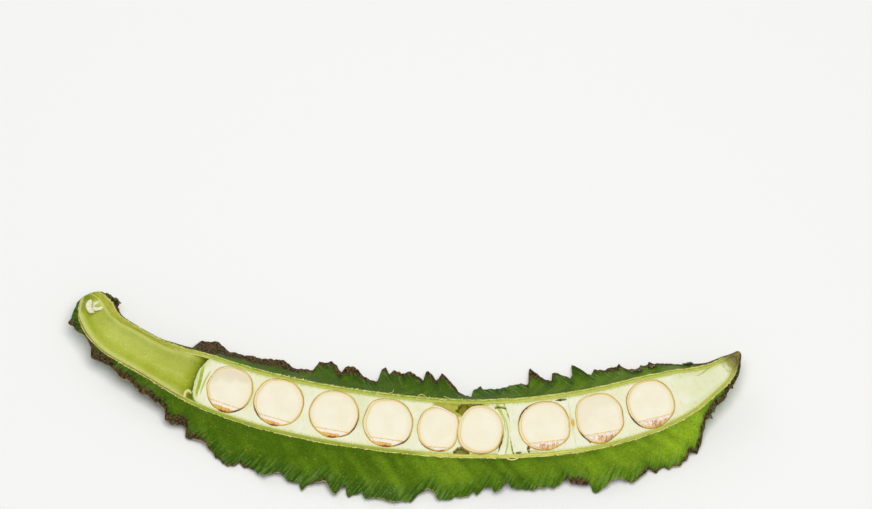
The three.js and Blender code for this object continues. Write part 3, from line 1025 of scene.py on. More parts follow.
@dataclass(frozen=True)
class Wing:
    """One of the two wings, from the rim out and down to its torn and toothed edge.

    Attributes:
        side: 1 for the back wing, -1 for the front one.
        seed: which random pattern its crinkles have.
        phase: where its long waves start.
        reach: smooth width that sets the slope and the waves.
        edge: the width as it is, with its teeth and notches.
        dried: width of the dried strip along the edge.
        tone: how light the skin is, 0 to 1.
        steepest: the most that it leans below level.
        clearance: height off the ground where it stops.
        wave_lengths: lengths of its two long waves.
        rib_pitch: distance between its fine ribs.
    """

    side: int
    seed: int
    phase: float
    reach: Knots
    edge: Knots
    dried: Knots
    tone: Knots
    steepest: float = math.radians(50)
    clearance: float = 0.42
    wave_lengths: tuple[float, float] = (12.4, 7.3)
    rib_pitch: float = 0.82

    def width(self, s: Array) -> Array:
        """Measured teeth, joined by straight lines, with ragged points of 0.4 mm about 1.6 mm apart.

        Args:
            s: distance along the spine.

        Returns:
            Distance from the rim to the torn edge.
        """
        at, value = np.array(self.edge, float).T
        teeth = np.interp(s, at, value)
        turn = (s + 0.9 * rough(s / 3.1, 1.5, self.seed)) / 1.6
        points = 0.4 * (np.abs(2 * (turn - np.floor(turn)) - 1) - 0.5) * (0.6 + 0.6 * rough(s / 5, 7.5, self.seed))
        small = 0.13 * rough(s / 0.62, 0.5, self.seed, 2)
        return np.maximum(teeth + (small + points) * np.minimum(teeth / 4, 1), 0.25)

    def slope(self, s: Array) -> Array:
        """Angle below level: the steepest, or less where the edge would meet the ground before that."""
        reach = follow(self.reach, s)
        return np.minimum(self.steepest, np.arcsin(np.minimum((CUT_HEIGHT - 0.55) / reach, 1)))

    def lift(self, s: Array, width: Array) -> Array:
        """Height off the plain slope.

        Two long waves that grow towards the edge, less a hollow between rim and edge, plus folds of 5 mm, fine
        ribs and a crinkle of 2 mm along the edge.

        Args:
            s: distance along the spine.
            width: distance from the rim down the wing.

        Returns:
            Height at right angles to the slope.
        """
        reach = follow(self.reach, s)
        size = np.minimum(reach / 12, 1)
        row = np.clip(width / reach, 0, 1.25)
        long, short = self.wave_lengths
        wave = 0.6 * np.sin(2 * math.pi * s / long + self.phase)
        wave = wave + 0.4 * np.sin(2 * math.pi * s / short + 2.3 * self.phase + 1)
        lift = 1.5 * size * (0.5 + 0.5 * wave) * row**1.5
        lift = lift - 0.9 * (reach / 12) ** 2 * np.sin(math.pi * np.minimum(row, 1))
        slanted = s + 0.55 * width
        grown = ease(0.3, 5, width)
        folds = 0.42 * grown * rough(slanted / 5.2, width / 9, self.seed + 3, 2)
        wander = 0.8 * rough(s / 6, width / 3, self.seed + 5)
        ribs = 0.03 * grown * np.sin(2 * math.pi * (slanted + 0.35 * wander) / self.rib_pitch)
        left = np.maximum(self.width(s) - width, 0)
        crinkle = 0.3 * np.exp(-left / 1.6) * size * rough(s / 1.7, width / 2.5, self.seed + 9, 2)
        return lift + folds + ribs + crinkle

    def surface(self, pod: PodForm, s: Array, width: Array, below: Array | float = 0.0) -> tuple[Array, Array]:
        """Across and height of points on the wing.

        The wing runs out by width cos(slope) and down by width sin(slope), bulges by its lift, and eases
        to a stop just above the ground instead of passing it.

        Args:
            pod: the pod that carries it.
            s: distance along the spine.
            width: distance from the rim.
            below: distance under the upper face, for the lower face.

        Returns:
            u with its sign, and v.
        """
        slope, lift = self.slope(s), self.lift(s, width)
        out, down = np.cos(slope), np.sin(slope)
        u = pod.half(s) + width * out + lift * down - below * down
        v = -width * down + lift * out
        ground = self.clearance - CUT_HEIGHT
        v = ground + 0.5 * np.logaddexp(0, (v - ground) / 0.5)
        return self.side * u, np.maximum(v - below * np.maximum(out, 0.62), -CUT_HEIGHT)


FRONT_WING = Wing(
    side=-1, seed=7, phase=0.0,
    reach=(
        (0, 0.9), (4, 2.8), (7, 1.4), (12, 2.8), (17, 3), (20, 3.8), (24, 5.3), (31, 7.2), (38, 9), (46, 10),
        (56, 11.4), (68, 11.9), (80, 11.2), (90, 9.9), (100, 8), (109, 7.9), (117, 8.8), (122, 10.4),
        (130, 10.2), (135, 7.9), (140, 6), (145, 4.4), (150, 2.9), (156, 1.4), (161, 0.8),
    ),
    edge=(
        (0, 1.4), (1, 1.5), (2.6, 2.3), (2.9, 3.6), (4.4, 2.2), (5.6, 1.9), (6.6, 0.8), (7.6, 0.5),
        (9.2, 1.2), (10, 3.2), (11, 2.6), (14, 2.2), (17, 3.3), (19, 3), (22.8, 4.2), (24.2, 3.8),
        (25.2, 4.5), (27.2, 4.2), (28.8, 5.1), (29.3, 6.5), (30.6, 6.9), (33.6, 6), (34.2, 6.7), (34.8, 8.7),
        (38.8, 7.5), (42, 9.6), (44.4, 10.9), (46.2, 10.4), (46.8, 9.5), (48, 10.4), (49.2, 9.6), (52.4, 10),
        (55.6, 8.9), (58, 10.4), (59.8, 10.2), (60.4, 11.4), (60.8, 11.6), (62.2, 9.9), (65.4, 8.6),
        (67, 11.1), (67.8, 11), (68.6, 9.8), (69.6, 9.2), (69.9, 11.3), (70.4, 11.7), (73.2, 10), (74, 11.1),
        (76.4, 10.7), (81, 11.1), (81.8, 10.7), (83.6, 11.3), (85.8, 8.6), (87, 7.9), (88, 8.1), (89.2, 10),
        (92, 10.1), (92.6, 9.1), (93.6, 9.7), (95.2, 9.7), (96.4, 8.1), (97, 9.3), (98.4, 7.6), (100, 7),
        (100.6, 8.1), (101.4, 7.8), (103.6, 5.7), (104.1, 7.6), (108, 8.5), (111.6, 7.6), (113, 8.4),
        (115.8, 6.2), (116.3, 7.3), (119.2, 8.2), (120.3, 8), (120.6, 10.1), (120.9, 10.5), (124.8, 7.8),
        (126, 7.8), (128.2, 9.8), (132.4, 8.3), (133.6, 10.1), (134.6, 9.1), (135.6, 9.2), (136.2, 10.1),
        (137.4, 9.4), (138.8, 10.3), (139.4, 9.4), (140.4, 9.4), (141, 8.3), (141.8, 8.6), (142.4, 9.7),
        (143.8, 8), (146.2, 3.8), (150, 2.4), (151.6, 2.5), (153.8, 1.3), (158.8, 1.1), (161, 0.4),
    ),
    dried=(
        (0, -0.3), (2.2, -0.2), (3, 1.3), (4.2, 1.1), (6, 0.4), (8, 0.5), (9.5, 1.8), (11, 2.8), (13, 2.3),
        (15, 1.2), (17, 2), (20, 1.6), (22.8, 1.9), (25, 2.2), (28, 1.7), (31, 2.4), (34, 2.2), (38, 1.2),
        (41, 0.4), (45, 0.6), (48, 0.6), (52, -0.1), (60, 0.0), (62, 0.3), (65, 0.7), (66.5, 0), (69, 0.4),
        (71, -0.2), (90, -0.3), (108, -0.3), (114.5, -0.1), (116.3, 1.4), (119.3, 1.5), (121, -0.1),
        (129, 0.2), (132, 0.9), (136, 0.5), (139, 0.8), (142, 1.7), (146, 1.7), (149, 1.9), (153, 1.6),
        (157, 1.2), (161, 1.6),
    ),
    tone=(
        (0, 0.1), (20, 0.03), (40, 0.02), (52, 0.04), (70, 0.03), (82, 0.16), (90, 0.22), (98, 0.17),
        (106, 0.2), (116, 0.29), (126, 0.4), (138, 0.52), (147, 0.66), (153, 0.6), (161, 0.4),
    ),
)

BACK_WING = Wing(
    side=1, seed=40, phase=1.1,
    reach=(
        (0, 0.9), (3, 2), (8, 1.8), (12, 1), (20, 1.2), (28, 1.8), (31.5, 5.6), (34, 8.6), (37.5, 8.4),
        (41, 7.4), (48, 8.2), (56, 8.6), (62, 9.6), (77, 10.3), (89, 10.5), (97, 9.2), (103, 8.8),
        (108, 10.4), (121, 10.2), (138, 9.4), (145, 7.8), (151, 5), (156, 2.2), (161, 0.8),
    ),
    edge=(
        (0, 0.8), (1.2, 1.4), (2.2, 2.5), (3.2, 2.2), (4.4, 1.1), (6.4, 0.9), (9, 0.7), (14, 0.5),
        (20.6, 0.5), (24, 1), (27, 1.1), (28.2, 1.3), (28.6, 7), (31.2, 9.4), (32, 9.4), (33.4, 7.9),
        (36, 6.1), (41.6, 6.6), (45, 7.6), (52, 7.2), (56.4, 7.3), (57.2, 7.5), (57.7, 9.6), (58, 11.7),
        (59.6, 11.2), (61, 11.6), (64, 7.4), (64.7, 9.6), (66.6, 9.6), (67.8, 9.2), (69.6, 6.8), (72.2, 5.8),
        (73, 5.9), (73.5, 10.4), (74.4, 11.4), (75.4, 9.1), (76.4, 9.9), (78.4, 9), (79.8, 10.7),
        (81.2, 10.7), (82.8, 9.3), (83.8, 7.4), (84.2, 10.4), (84.8, 10.5), (86.8, 7.8), (87.5, 8.2),
        (88.2, 10.3), (88.6, 10.3), (90, 8.8), (93, 4), (95.8, 3.4), (96.3, 6.6), (98.2, 8.2), (98.8, 6.7),
        (99.6, 6.4), (101.8, 6.5), (103.8, 7.5), (107, 6.7), (110, 6.7), (110.6, 10.9), (111, 11.4),
        (113.4, 8.4), (115.4, 6.9), (115.9, 7.2), (116.4, 9.6), (117.8, 9.7), (120.6, 6.8), (121.3, 7.5),
        (121.8, 10.6), (126.2, 6.7), (127.4, 8.6), (129.6, 7.6), (131.4, 8.4), (133.2, 7.9), (134, 8.6),
        (134.4, 7.4), (135.6, 5.6), (137.2, 4.6), (138.6, 6), (139.8, 6.2), (141.4, 7.6), (144, 5.8),
        (146.6, 5.4), (148.2, 4), (149.8, 3.4), (151.6, 2), (154, 1.1), (159, 0.5), (161, 0.4),
    ),
    dried=(
        (0, 0.8), (2, 2.2), (5, 3.2), (8, 0.8), (12, -0.2), (26, 0.2), (28.5, 4), (30, 8.5), (32.5, 8.3),
        (35, 3.6), (45, 3.3), (52, 3), (56, 1.6), (59, 1.4), (62, 1.6), (66, 2.2), (70, 1), (74, 1),
        (80, 1.2), (86, 1.4), (90, 1.8), (94, 0.6), (97, 0.3), (104, 0.2), (109, 0.6), (111, 2.4), (114, 0.9),
        (117, 1), (120, 0.4), (126, 0.2), (129, 0.8), (133, 1.6), (137, 0.6), (142, 1.4), (147, 1.2),
        (152, 1.6), (161, 1.4),
    ),
    tone=((0, 0.3), (8, 0.2), (30, 0.04), (60, 0), (90, 0), (105, 0.06), (125, 0.14), (140, 0.2), (161, 0.2)),
)


# ---- The pod wall ----


class Region(IntEnum):
    """The parts of the pod wall's surface, numbered as its finishes."""

    SKIN = 0
    CUT = 1
    LINING = 2


@dataclass
class Stretch:
    """A run of points round the pod wall's cross-section, for all stations at once.

    Attributes:
        rows: stations by points by eight: u and v; then lay, which is distance along, distance from the outer
            edge of the rim (inwards negative), and distance to the wing's edge, or on the rim and in the hollow
            from the inner edge of the rim; then the wear and shade values, which are distance into the dried
            strip, tone (painted light and shade in the hollow, a painted shadow under the rim on the wings), and
            side from -1 at the front to 1 at the back.
        region: what the faces after each point are.
    """

    rows: Array
    region: Region

    def backwards(self) -> "Stretch":
        """The same points in the opposite order."""
        return Stretch(self.rows[:, ::-1], self.region)


@dataclass
class PodWall:
    """The pod's half shell, grown as one: the cut rim, the hollow, the belly and the two wings.

    Attributes:
        form: widths and depths.
        stations: how many cross-sections.
        rim_rows: points across the cut rim, as parts of its width.
        wing_rows: points down a wing, as parts of its width.
        under_steps: points for each span of the underside.
        hollow_steps: faces round the hollow.
        end_rings: rings to each rounded end.
        nose: length of the rounded end at the stalk.
        point: length of the rounded end at the tip.
        browning: how far into dried tissue the ends are.
    """

    form: PodForm
    stations: int = 790
    rim_rows: tuple[float, ...] = (0, 0.14, 0.32, 0.5, 0.66, 0.8, 0.91, 1)
    wing_rows: tuple[float, ...] = (
        0.015, 0.05, 0.1, 0.16, 0.22, 0.29, 0.36, 0.43, 0.5, 0.56, 0.62, 0.68, 0.74, 0.79, 0.84, 0.885,
        0.925, 0.955, 0.98, 1,
    )
    under_steps: int = 3
    hollow_steps: int = 26
    end_rings: int = 6
    nose: float = 0.9
    point: float = 0.5
    browning: Knots = (
        (0, -0.7), (3, -1.6), (10, -3), (148, -3), (153, -1.6), (156, -0.3), (158, 0.5), (159.5, 1.2),
        (161, 1.4),
    )

    def along(self) -> tuple[Array, Array]:
        """Stations and how far each cross-section has opened.

        Returns:
            Distances along the spine, with a rounded end past each end of it, and the size of each section:
            sin(t) times the end's length further along, the section is cos(t) of its size.
        """
        turn = np.linspace(math.pi / 2, 0, self.end_rings + 2)[1:-1]
        length = self.form.spine.length
        middle = np.linspace(0, length, self.stations)
        s = np.concatenate([-self.nose * np.sin(turn), middle, length + self.point * np.sin(turn[::-1])])
        size = np.concatenate([np.cos(turn), np.ones(self.stations), np.cos(turn[::-1])])
        return s[:, None], size[:, None]

    def rim(self, s: Array, wing: Wing) -> Stretch:
        """The cut wall from its inner to its outer edge, with the torn lip of outer skin standing up.

        Height is a fine roughness, less (1 - q)^4 / 8 at the rounded inner edge, plus a ragged lip that
        stands up to 0.22 mm where it was torn. By the neck the back rim slopes 0.55 mm down to the hollow.

        Args:
            s: stations, one column.
            wing: the wing on this side.

        Returns:
            The run from the hollow outwards.
        """
        q = np.array(self.rim_rows)[None, :]
        inner, outer = self.form.inside(s) + wing.side * self.form.lean(s), self.form.half(s)
        torn = np.clip(rough(s / 0.7, 3.3, wing.seed + 20, 2) * 0.9 + 0.15, 0, 1)
        lip = 0.22 * torn * ease(0.72, 0.92, q)
        v = 0.035 * rough(s / 0.9, q * 4, wing.seed + 21, 2) - 0.12 * (1 - q) ** 4 + lip
        if wing.side > 0:
            v = v - 0.55 * (1 - q) ** 1.3 * ease(30, 22, s)
        u = inner + (outer - inner) * q + 0.1 * q**3 * rough(s / 0.8, 8.1, wing.seed + 22, 2)
        pale = ease(82, 88, s) if wing.side < 0 else 0.35 * ease(96, 106, s)
        pale = pale * (1 - 0.55 * ease(116, 124, s))
        wide = outer - inner
        rows = vectors(wing.side * u, v, s, wide * (q - 1), wide * q, follow(self.browning, s), pale, wing.side)
        return Stretch(rows, Region.CUT)

    def blade(self, s: Array, wing: Wing) -> tuple[Stretch, Stretch]:
        """The upper face of a wing, and the rounded line of its edge.

        Args:
            s: stations, one column.
            wing: the wing.

        Returns:
            The run from rim to edge, and the single line of points outside the edge.
        """
        part = np.array(self.wing_rows)[None, :]
        full = wing.width(s)
        width = part * full
        u, v = wing.surface(self.form, s, width)
        v = v + 0.1 * (1 - ease(0.2, 1.4, width)) * rough(s / 1.3, width, wing.seed + 23)
        dried = np.maximum(follow(wing.dried, s) - (full - width), follow(self.browning, s) - 0.3)
        fold = (0.05 + 0.09 * ease(40, 70, s)) * rough((s - 0.7 * width) / 1.8, width / 11, wing.seed + 3, 2)
        # Tone: the wing's lightness along the pod and random folds, less a painted shadow about 0.5 mm under the
        # rim, where the wing turns under it, and darker from 5 to 11 mm down the wing.
        tone = follow(wing.tone, s) + fold - 0.12 * hump(width, 0.5, 0.8) - 0.12 * ease(5, 11, width)
        face = vectors(u, v, s, width, full - width, dried, np.clip(tone, 0, 1), wing.side)
        below = 0.5 * self.thickness(s, np.ones_like(full))
        line = face[:, -1:].copy()
        line[..., 0], line[..., 1] = wing.surface(self.form, s, full + 0.6 * below, below)
        return Stretch(face, Region.SKIN), Stretch(line, Region.SKIN)

    def thickness(self, s: Array, part: Array) -> Array:
        """Thickness of a wing: 2 mm near the rim down to 0.4 at the edge, thinner where the pod is slim."""
        slim = np.minimum(follow(self.form.belly, s) / 3.5, 1)
        return slim * np.interp(part, (0, 0.2, 0.42, 0.7, 1), (2.2, 2, 1.5, 1, 0.4))

    def under(self, s: Array) -> Stretch:
        """The underside, from the back wing's edge over the belly to the front wing's edge.

        Seven points a side are worked out at each station, four under the wing and three on the belly, and a
        Catmull-Rom curve is drawn through them.

        Args:
            s: stations, one column.

        Returns:
            The run from back to front.
        """
        half, belly, sides = self.form.half(s), follow(self.form.belly, s), []
        part = np.array(((0.985, 0.7, 0.42, 0.2),))
        across, down, leaning = np.array(((0.92, 0.62, 0.2), (0.62, 0.92, 1), (1, 0.8, 0.3)))[:, None]
        for wing in (BACK_WING, FRONT_WING):
            full, tone = wing.width(s), follow(wing.tone, s)
            u, v = wing.surface(self.form, s, part * full, self.thickness(s, part))
            edge, flank = full * (1 - part), np.array(((1, 3.5, 6),)) + full
            blade = vectors(u, v, s, full + 1 + edge, edge, follow(wing.dried, s) - edge, tone, wing.side)
            u, v = across * half * wing.side, np.maximum(-down * belly, -CUT_HEIGHT)
            body = vectors(u, v, s, full + 1 + flank, flank, -3, tone + 0.1, wing.side * leaning)
            sides.append(np.concatenate([blade, body], 1))
        coarse = np.concatenate([sides[0], sides[1][:, ::-1]], 1)
        before = np.concatenate([coarse[:, :1], coarse[:, :-2]], 1)
        after = np.concatenate([coarse[:, 2:], coarse[:, -1:]], 1)
        spans = [catmull(before, coarse[:, :-1], coarse[:, 1:], after, k / self.under_steps)
                 for k in range(self.under_steps)]
        fine = np.concatenate([np.stack(spans, 2).reshape(len(s), -1, 8), coarse[:, -1:]], 1)
        v = np.clip(fine[..., 1], -CUT_HEIGHT, None)
        grain = rough(fine[..., 2] / 2.2, fine[..., 3] / 1.5, 77, 2)
        fine[..., 1] = v + 0.05 * grain * ease(-CUT_HEIGHT, 0.6 - CUT_HEIGHT, v)
        return Stretch(fine, Region.SKIN)

    def hollow(self, s: Array) -> Stretch:
        """The inside of the hollow, from the front rim down and up to the back rim, ends left out.

        The superellipse carries a soft ridge of 0.2 mm below the back rim and shallow lengthwise waves.

        Args:
            s: stations, one column.

        Returns:
            The run from front to back.
        """
        angle = np.linspace(math.pi, 0, self.hollow_steps + 1)[None, 1:-1]
        inner, depth = self.form.inside(s), self.form.depth(s)
        u, v = self.form.wall(s, angle)
        dish = -0.8 * depth * np.cos(0.5 * math.pi * u / inner) ** 0.9
        v = v + (dish - v) * (1 - ease(28.5, 32.5, s))
        ridge = 0.1 * hump(angle, 0.66, 0.2) + 0.06 * hump(angle, 2.5, 0.2)
        wave = 0.07 * rough(s / 6, angle * 2.2, 51, 2)
        swell = ease(0, 2, depth) * (ridge + wave) * np.sin(angle)
        shrink = 1 - swell / np.maximum(np.hypot(u, v), 0.3)
        t = -(inner * (1 - np.abs(np.cos(angle))) + 0.8 * depth * np.abs(np.sin(angle)))
        # Tone is painted light and shade on the lining: a painted highlight along the ridge under the back rim,
        # painted light just under that ridge and up the front side, a little lighter in the middle of the neck,
        # darker at the stalk end, painted shade under the pith scrap and in the open hollow from the fifth seed
        # on, a painted shadow along the pith's torn edge and painted shade by the pith at the back.
        tone = 0.5 + 0.5 * hump(angle, 0.3, 0.28) + 0.24 * hump(angle, 0.95, 0.5) + 0.5 * ease(1.9, 2.8, angle)
        tone = tone + 0.06 * hump(s, 13, 8) - 0.5 * ease(2.0, 0.4, s) - 0.5 * hump(s, 32.1, 0.8)
        tone = tone - 0.6 * hump(s, 1.8, 0.9) * hump(angle, 2.45, 0.4) - 0.3 * ease(84, 88, s)
        tone = tone - 0.55 * hump(s, 32.8, 2.4) * ease(2.4, 1.2, angle)
        wear = (follow(self.browning, s) - 1, np.clip(tone, 0, 1), np.cos(angle))
        rows = vectors(u * shrink + self.form.lean(s), v * shrink, s, t - 1, t, *wear)
        return Stretch(rows, Region.LINING)

    def build(self) -> bpy.types.Object:
        """Joins the runs into rings, the rings into a body, and dresses it.

        Returns:
            The dressed wall.
        """
        s, size = self.along()
        back, back_edge = self.blade(s, BACK_WING)
        front, front_edge = self.blade(s, FRONT_WING)
        runs = [
            self.rim(s, BACK_WING), back, back_edge, self.under(s), front_edge, front.backwards(),
            self.rim(s, FRONT_WING).backwards(), self.hollow(s),
        ]
        rows = np.concatenate([run.rows for run in runs], 1)
        u, v = rows[..., 0] * size, rows[..., 1] * size
        region = np.concatenate([np.full(run.rows.shape[1], run.region) for run in runs])
        region[len(self.rim_rows) - 1] = Region.SKIN
        region[-runs[-1].rows.shape[1] - 1] = Region.LINING
        spine = self.form.spine
        rings = spine.place(s, u + self.form.sway(s) * size, v)
        start, end = (spine.place(np.array(at), 0, 0.0) for at in (-self.nose, spine.length + self.point))
        solid = tube(rings, start, end, {"lay": rows[..., 2:5], "wear": rows[..., 5:]}, region)
        finishes = [FreshSkin(), SlicedWall(), HollowLining()]
        return solid.piece("pod_half_shell", finishes, "pod_skin", ("pod_shell",))


# ---- Seeds ----


@dataclass(frozen=True)
class Seed:
    """A bean cut flat across its middle, lying in its cell with the hilum towards the front.

    Attributes:
        s: place of its middle along the spine.
        u: place across it.
        radii: distances from the middle to the outline, one each 15 degrees from ahead towards the back.
        depth: depth below the cut face.
        proud: height above the cut face.
        hilum: distance across, from the middle, of the line above the hilum.
        tilt: rise of that line for each millimetre along.
        scar: where the coloured scar begins and ends along the seed.
        spot: place along, half length and strength of its dark spot.
        ripe: 0 for a honey-coloured scar, 1 for a pale one with brown streaks.
        dark: direction in degrees, half width and strength of the darkest stretch of coat.
        faint: how much fainter the coat is than on the others.
        soft_coat: width of the soft coat on the side towards the stalk.
        facet: place across, slope and strength of a facet that the knife left at another angle, tilted a little
            and painted with shade.
        sides: points round the outline.
    """

    s: float
    u: float
    radii: tuple[float, ...]
    depth: float = 4.9
    proud: float = 0.0
    hilum: float = -3.9
    tilt: float = 0.0
    scar: tuple[float, float] = (-2.8, 1.2)
    spot: tuple[float, float, float] = (0.2, 1.1, 1.0)
    ripe: float = 0.0
    dark: tuple[float, float, float] = (225, 30, 0.8)
    faint: float = 0.0
    soft_coat: float = 0.3
    facet: tuple[float, float, float] = (9, 0, 0)
    sides: int = 144

    def outline(self, angle: Array) -> Array:
        """The sum of the Fourier terms of the radii.

        Args:
            angle: directions from the middle, from ahead towards the back.

        Returns:
            Distance from the middle to the outline.
        """
        count = len(self.radii)
        terms = np.fft.rfft(self.radii) / count
        k = np.arange(len(terms))
        weight = np.where((k == 0) | (k == count // 2), 1, 2)
        return (terms * weight * np.exp(1j * k * np.asarray(angle)[..., None])).real.sum(-1)

    def spread(self, spine: Spine, points: Array, grow: float) -> tuple[Array, Array]:
        """How far out from the seed's middle some places are.

        Args:
            spine: the pod's middle line.
            points: places, with x, y and z last.
            grow: margin round the outline.

        Returns:
            The part of the way to the grown outline, and the distance beyond it.
        """
        x, y, tx, ty = spine.at(np.array(self.s))
        dx, dy = points[..., 0] - x, points[..., 1] - y
        a, b = dx * tx + dy * ty, dy * tx - dx * ty - self.u
        far, edge = np.hypot(a, b), self.outline(np.arctan2(b, a)) + grow
        return far / edge, far - edge

    def build(self, number: int, spine: Spine) -> bpy.types.Object:
        """Makes the seed: rings of the outline shrunk over the cut face, then down round its body.

        The face is level with a dome of 0.1 mm, a coat ring that stands 0.07 mm up, a groove inside it and
        a step down at the hilum. The body below is depth sin^(2/2.4), shrinking as cos^(2/2.4).

        Args:
            number: its number from the stalk end.
            spine: the pod's middle line.

        Returns:
            The dressed seed.
        """
        angle = np.linspace(0, 2 * math.pi, self.sides, endpoint=False)[None, :]
        inset = np.array((
            5.0, 4.5, 4.0, 3.5, 3.0, 2.55, 2.15, 1.85, 1.6, 1.38, 1.2, 1.04, 0.9, 0.78, 0.67, 0.57, 0.48, 0.4,
            0.33, 0.26, 0.19, 0.12, 0.05, 0.0,
        ))[:, None]
        outline = self.outline(angle)
        outline = outline + 0.03 * rough(5 * np.cos(angle) + 7, 5 * np.sin(angle) + number, 90 + number, 2)
        levels = np.radians(np.array((8, 18, 29, 40, 51, 62, 73, 82)))[:, None]
        scale = np.clip(1 - inset / np.mean(self.radii), 0.03, 1)
        scale = np.concatenate([scale, np.ones((3, 1)), np.cos(levels) ** (2 / SQUARENESS)])
        a, b = outline * np.cos(angle) * scale, outline * np.sin(angle) * scale
        rows = len(inset)
        inside = np.broadcast_to(np.concatenate([inset, np.full((len(scale) - rows, 1), -0.2)]), a.shape)
        below = self.hilum + self.tilt * a - b
        ring = 0.07 * hump(inside, 0.13, 0.12) - 0.07 * hump(inside, 0.38, 0.1)
        step = -0.14 * ease(-0.05, 0.25, below) * ease(0.2, 0.45, inside)
        broken = ease(-0.1, 0.3, below) * ease(0.1, 0.4, inside)
        crumble = (0.05 + 0.07 * self.ripe) * rough(a * 1.9, b * 1.6, 60 + number, 2) * broken
        at, slope, strength = self.facet
        over = b - at - slope * a
        tilt = -0.25 * strength * ease(0, 1.2, over) * np.clip(over, 0, 5) / 4
        smooth = 0.02 * rough(a / 2.5, b / 2.5, 30 + number, 2)
        top = self.proud + 0.1 * (1 - scale**4) + ring + step + crumble + tilt + smooth
        top = top - 0.08 * ease(0.06, 0, inside)
        side = np.array((0.12, 0.25, 0.4))[:, None]
        floor = -self.depth * np.sin(levels) ** (2 / SQUARENESS)
        drop = np.concatenate([self.proud * (side < 0.3) - side, np.minimum(floor, -0.42)])
        v = np.concatenate([top[:rows], np.broadcast_to(drop, (len(drop), angle.shape[1]))])
        first, last = self.scar
        along = ease(first - 0.5, first + 0.3, a) * ease(last + 0.8, last - 0.4, a)
        spot_at, spot_half, spot = self.spot
        patch = along * ease(0.55, 0.95, below) * (1 - 0.6 * self.ripe)
        low = ease(0.5 - 4 * self.faint, 0.9 - 4 * self.faint, below)
        near = ease(0.7 + 0.8 * self.ripe, 0.15 + 0.3 * self.ripe, inside)
        patch = patch + spot * hump(a, spot_at, spot_half) * near * low
        ripe = self.ripe * ease(0.12, 0.35, below) * along
        at, half, strength = self.dark
        turn = np.degrees(angle) - at
        dark = strength * hump((turn + 180) % 360 - 180, 0, half) + 0.1 - self.faint
        dark = dark + 0.25 * rough(2.5 * np.cos(angle) + 3, 2.5 * np.sin(angle) + number, 45 + number)
        stalkwards = 0.5 - 0.5 * np.cos(angle)
        soft_coat = 0.34 + (self.soft_coat - 0.34) * stalkwards**2
        uneven = 1.3 * rough(a / 3, b / 3, 33 + number, 2)
        # Where the facet's painted shade lies.
        facet = abs(self.facet[2]) * ease(-0.6, 1.9, over + uneven) * ease(0.4, 1.0, inside)
        x, y, tx, ty = spine.at(np.array(self.s))
        across = self.u + b
        points = vectors(x + a * tx - across * ty, y + a * ty + across * tx, CUT_HEIGHT + v)
        values = {
            "lay": vectors(a, b, inside), "wear": vectors(below, patch, ripe),
            "mark": vectors(facet, dark, soft_coat),
        }
        crown, foot = points[0].mean(0), points[-1].mean(0)
        foot[2] = CUT_HEIGHT - self.depth
        solid = tube(points, crown, foot, values)
        return solid.piece(f"cut_seed_{number}", [CutSeed()], "seed", (f"seed_{number}",), crease=70)


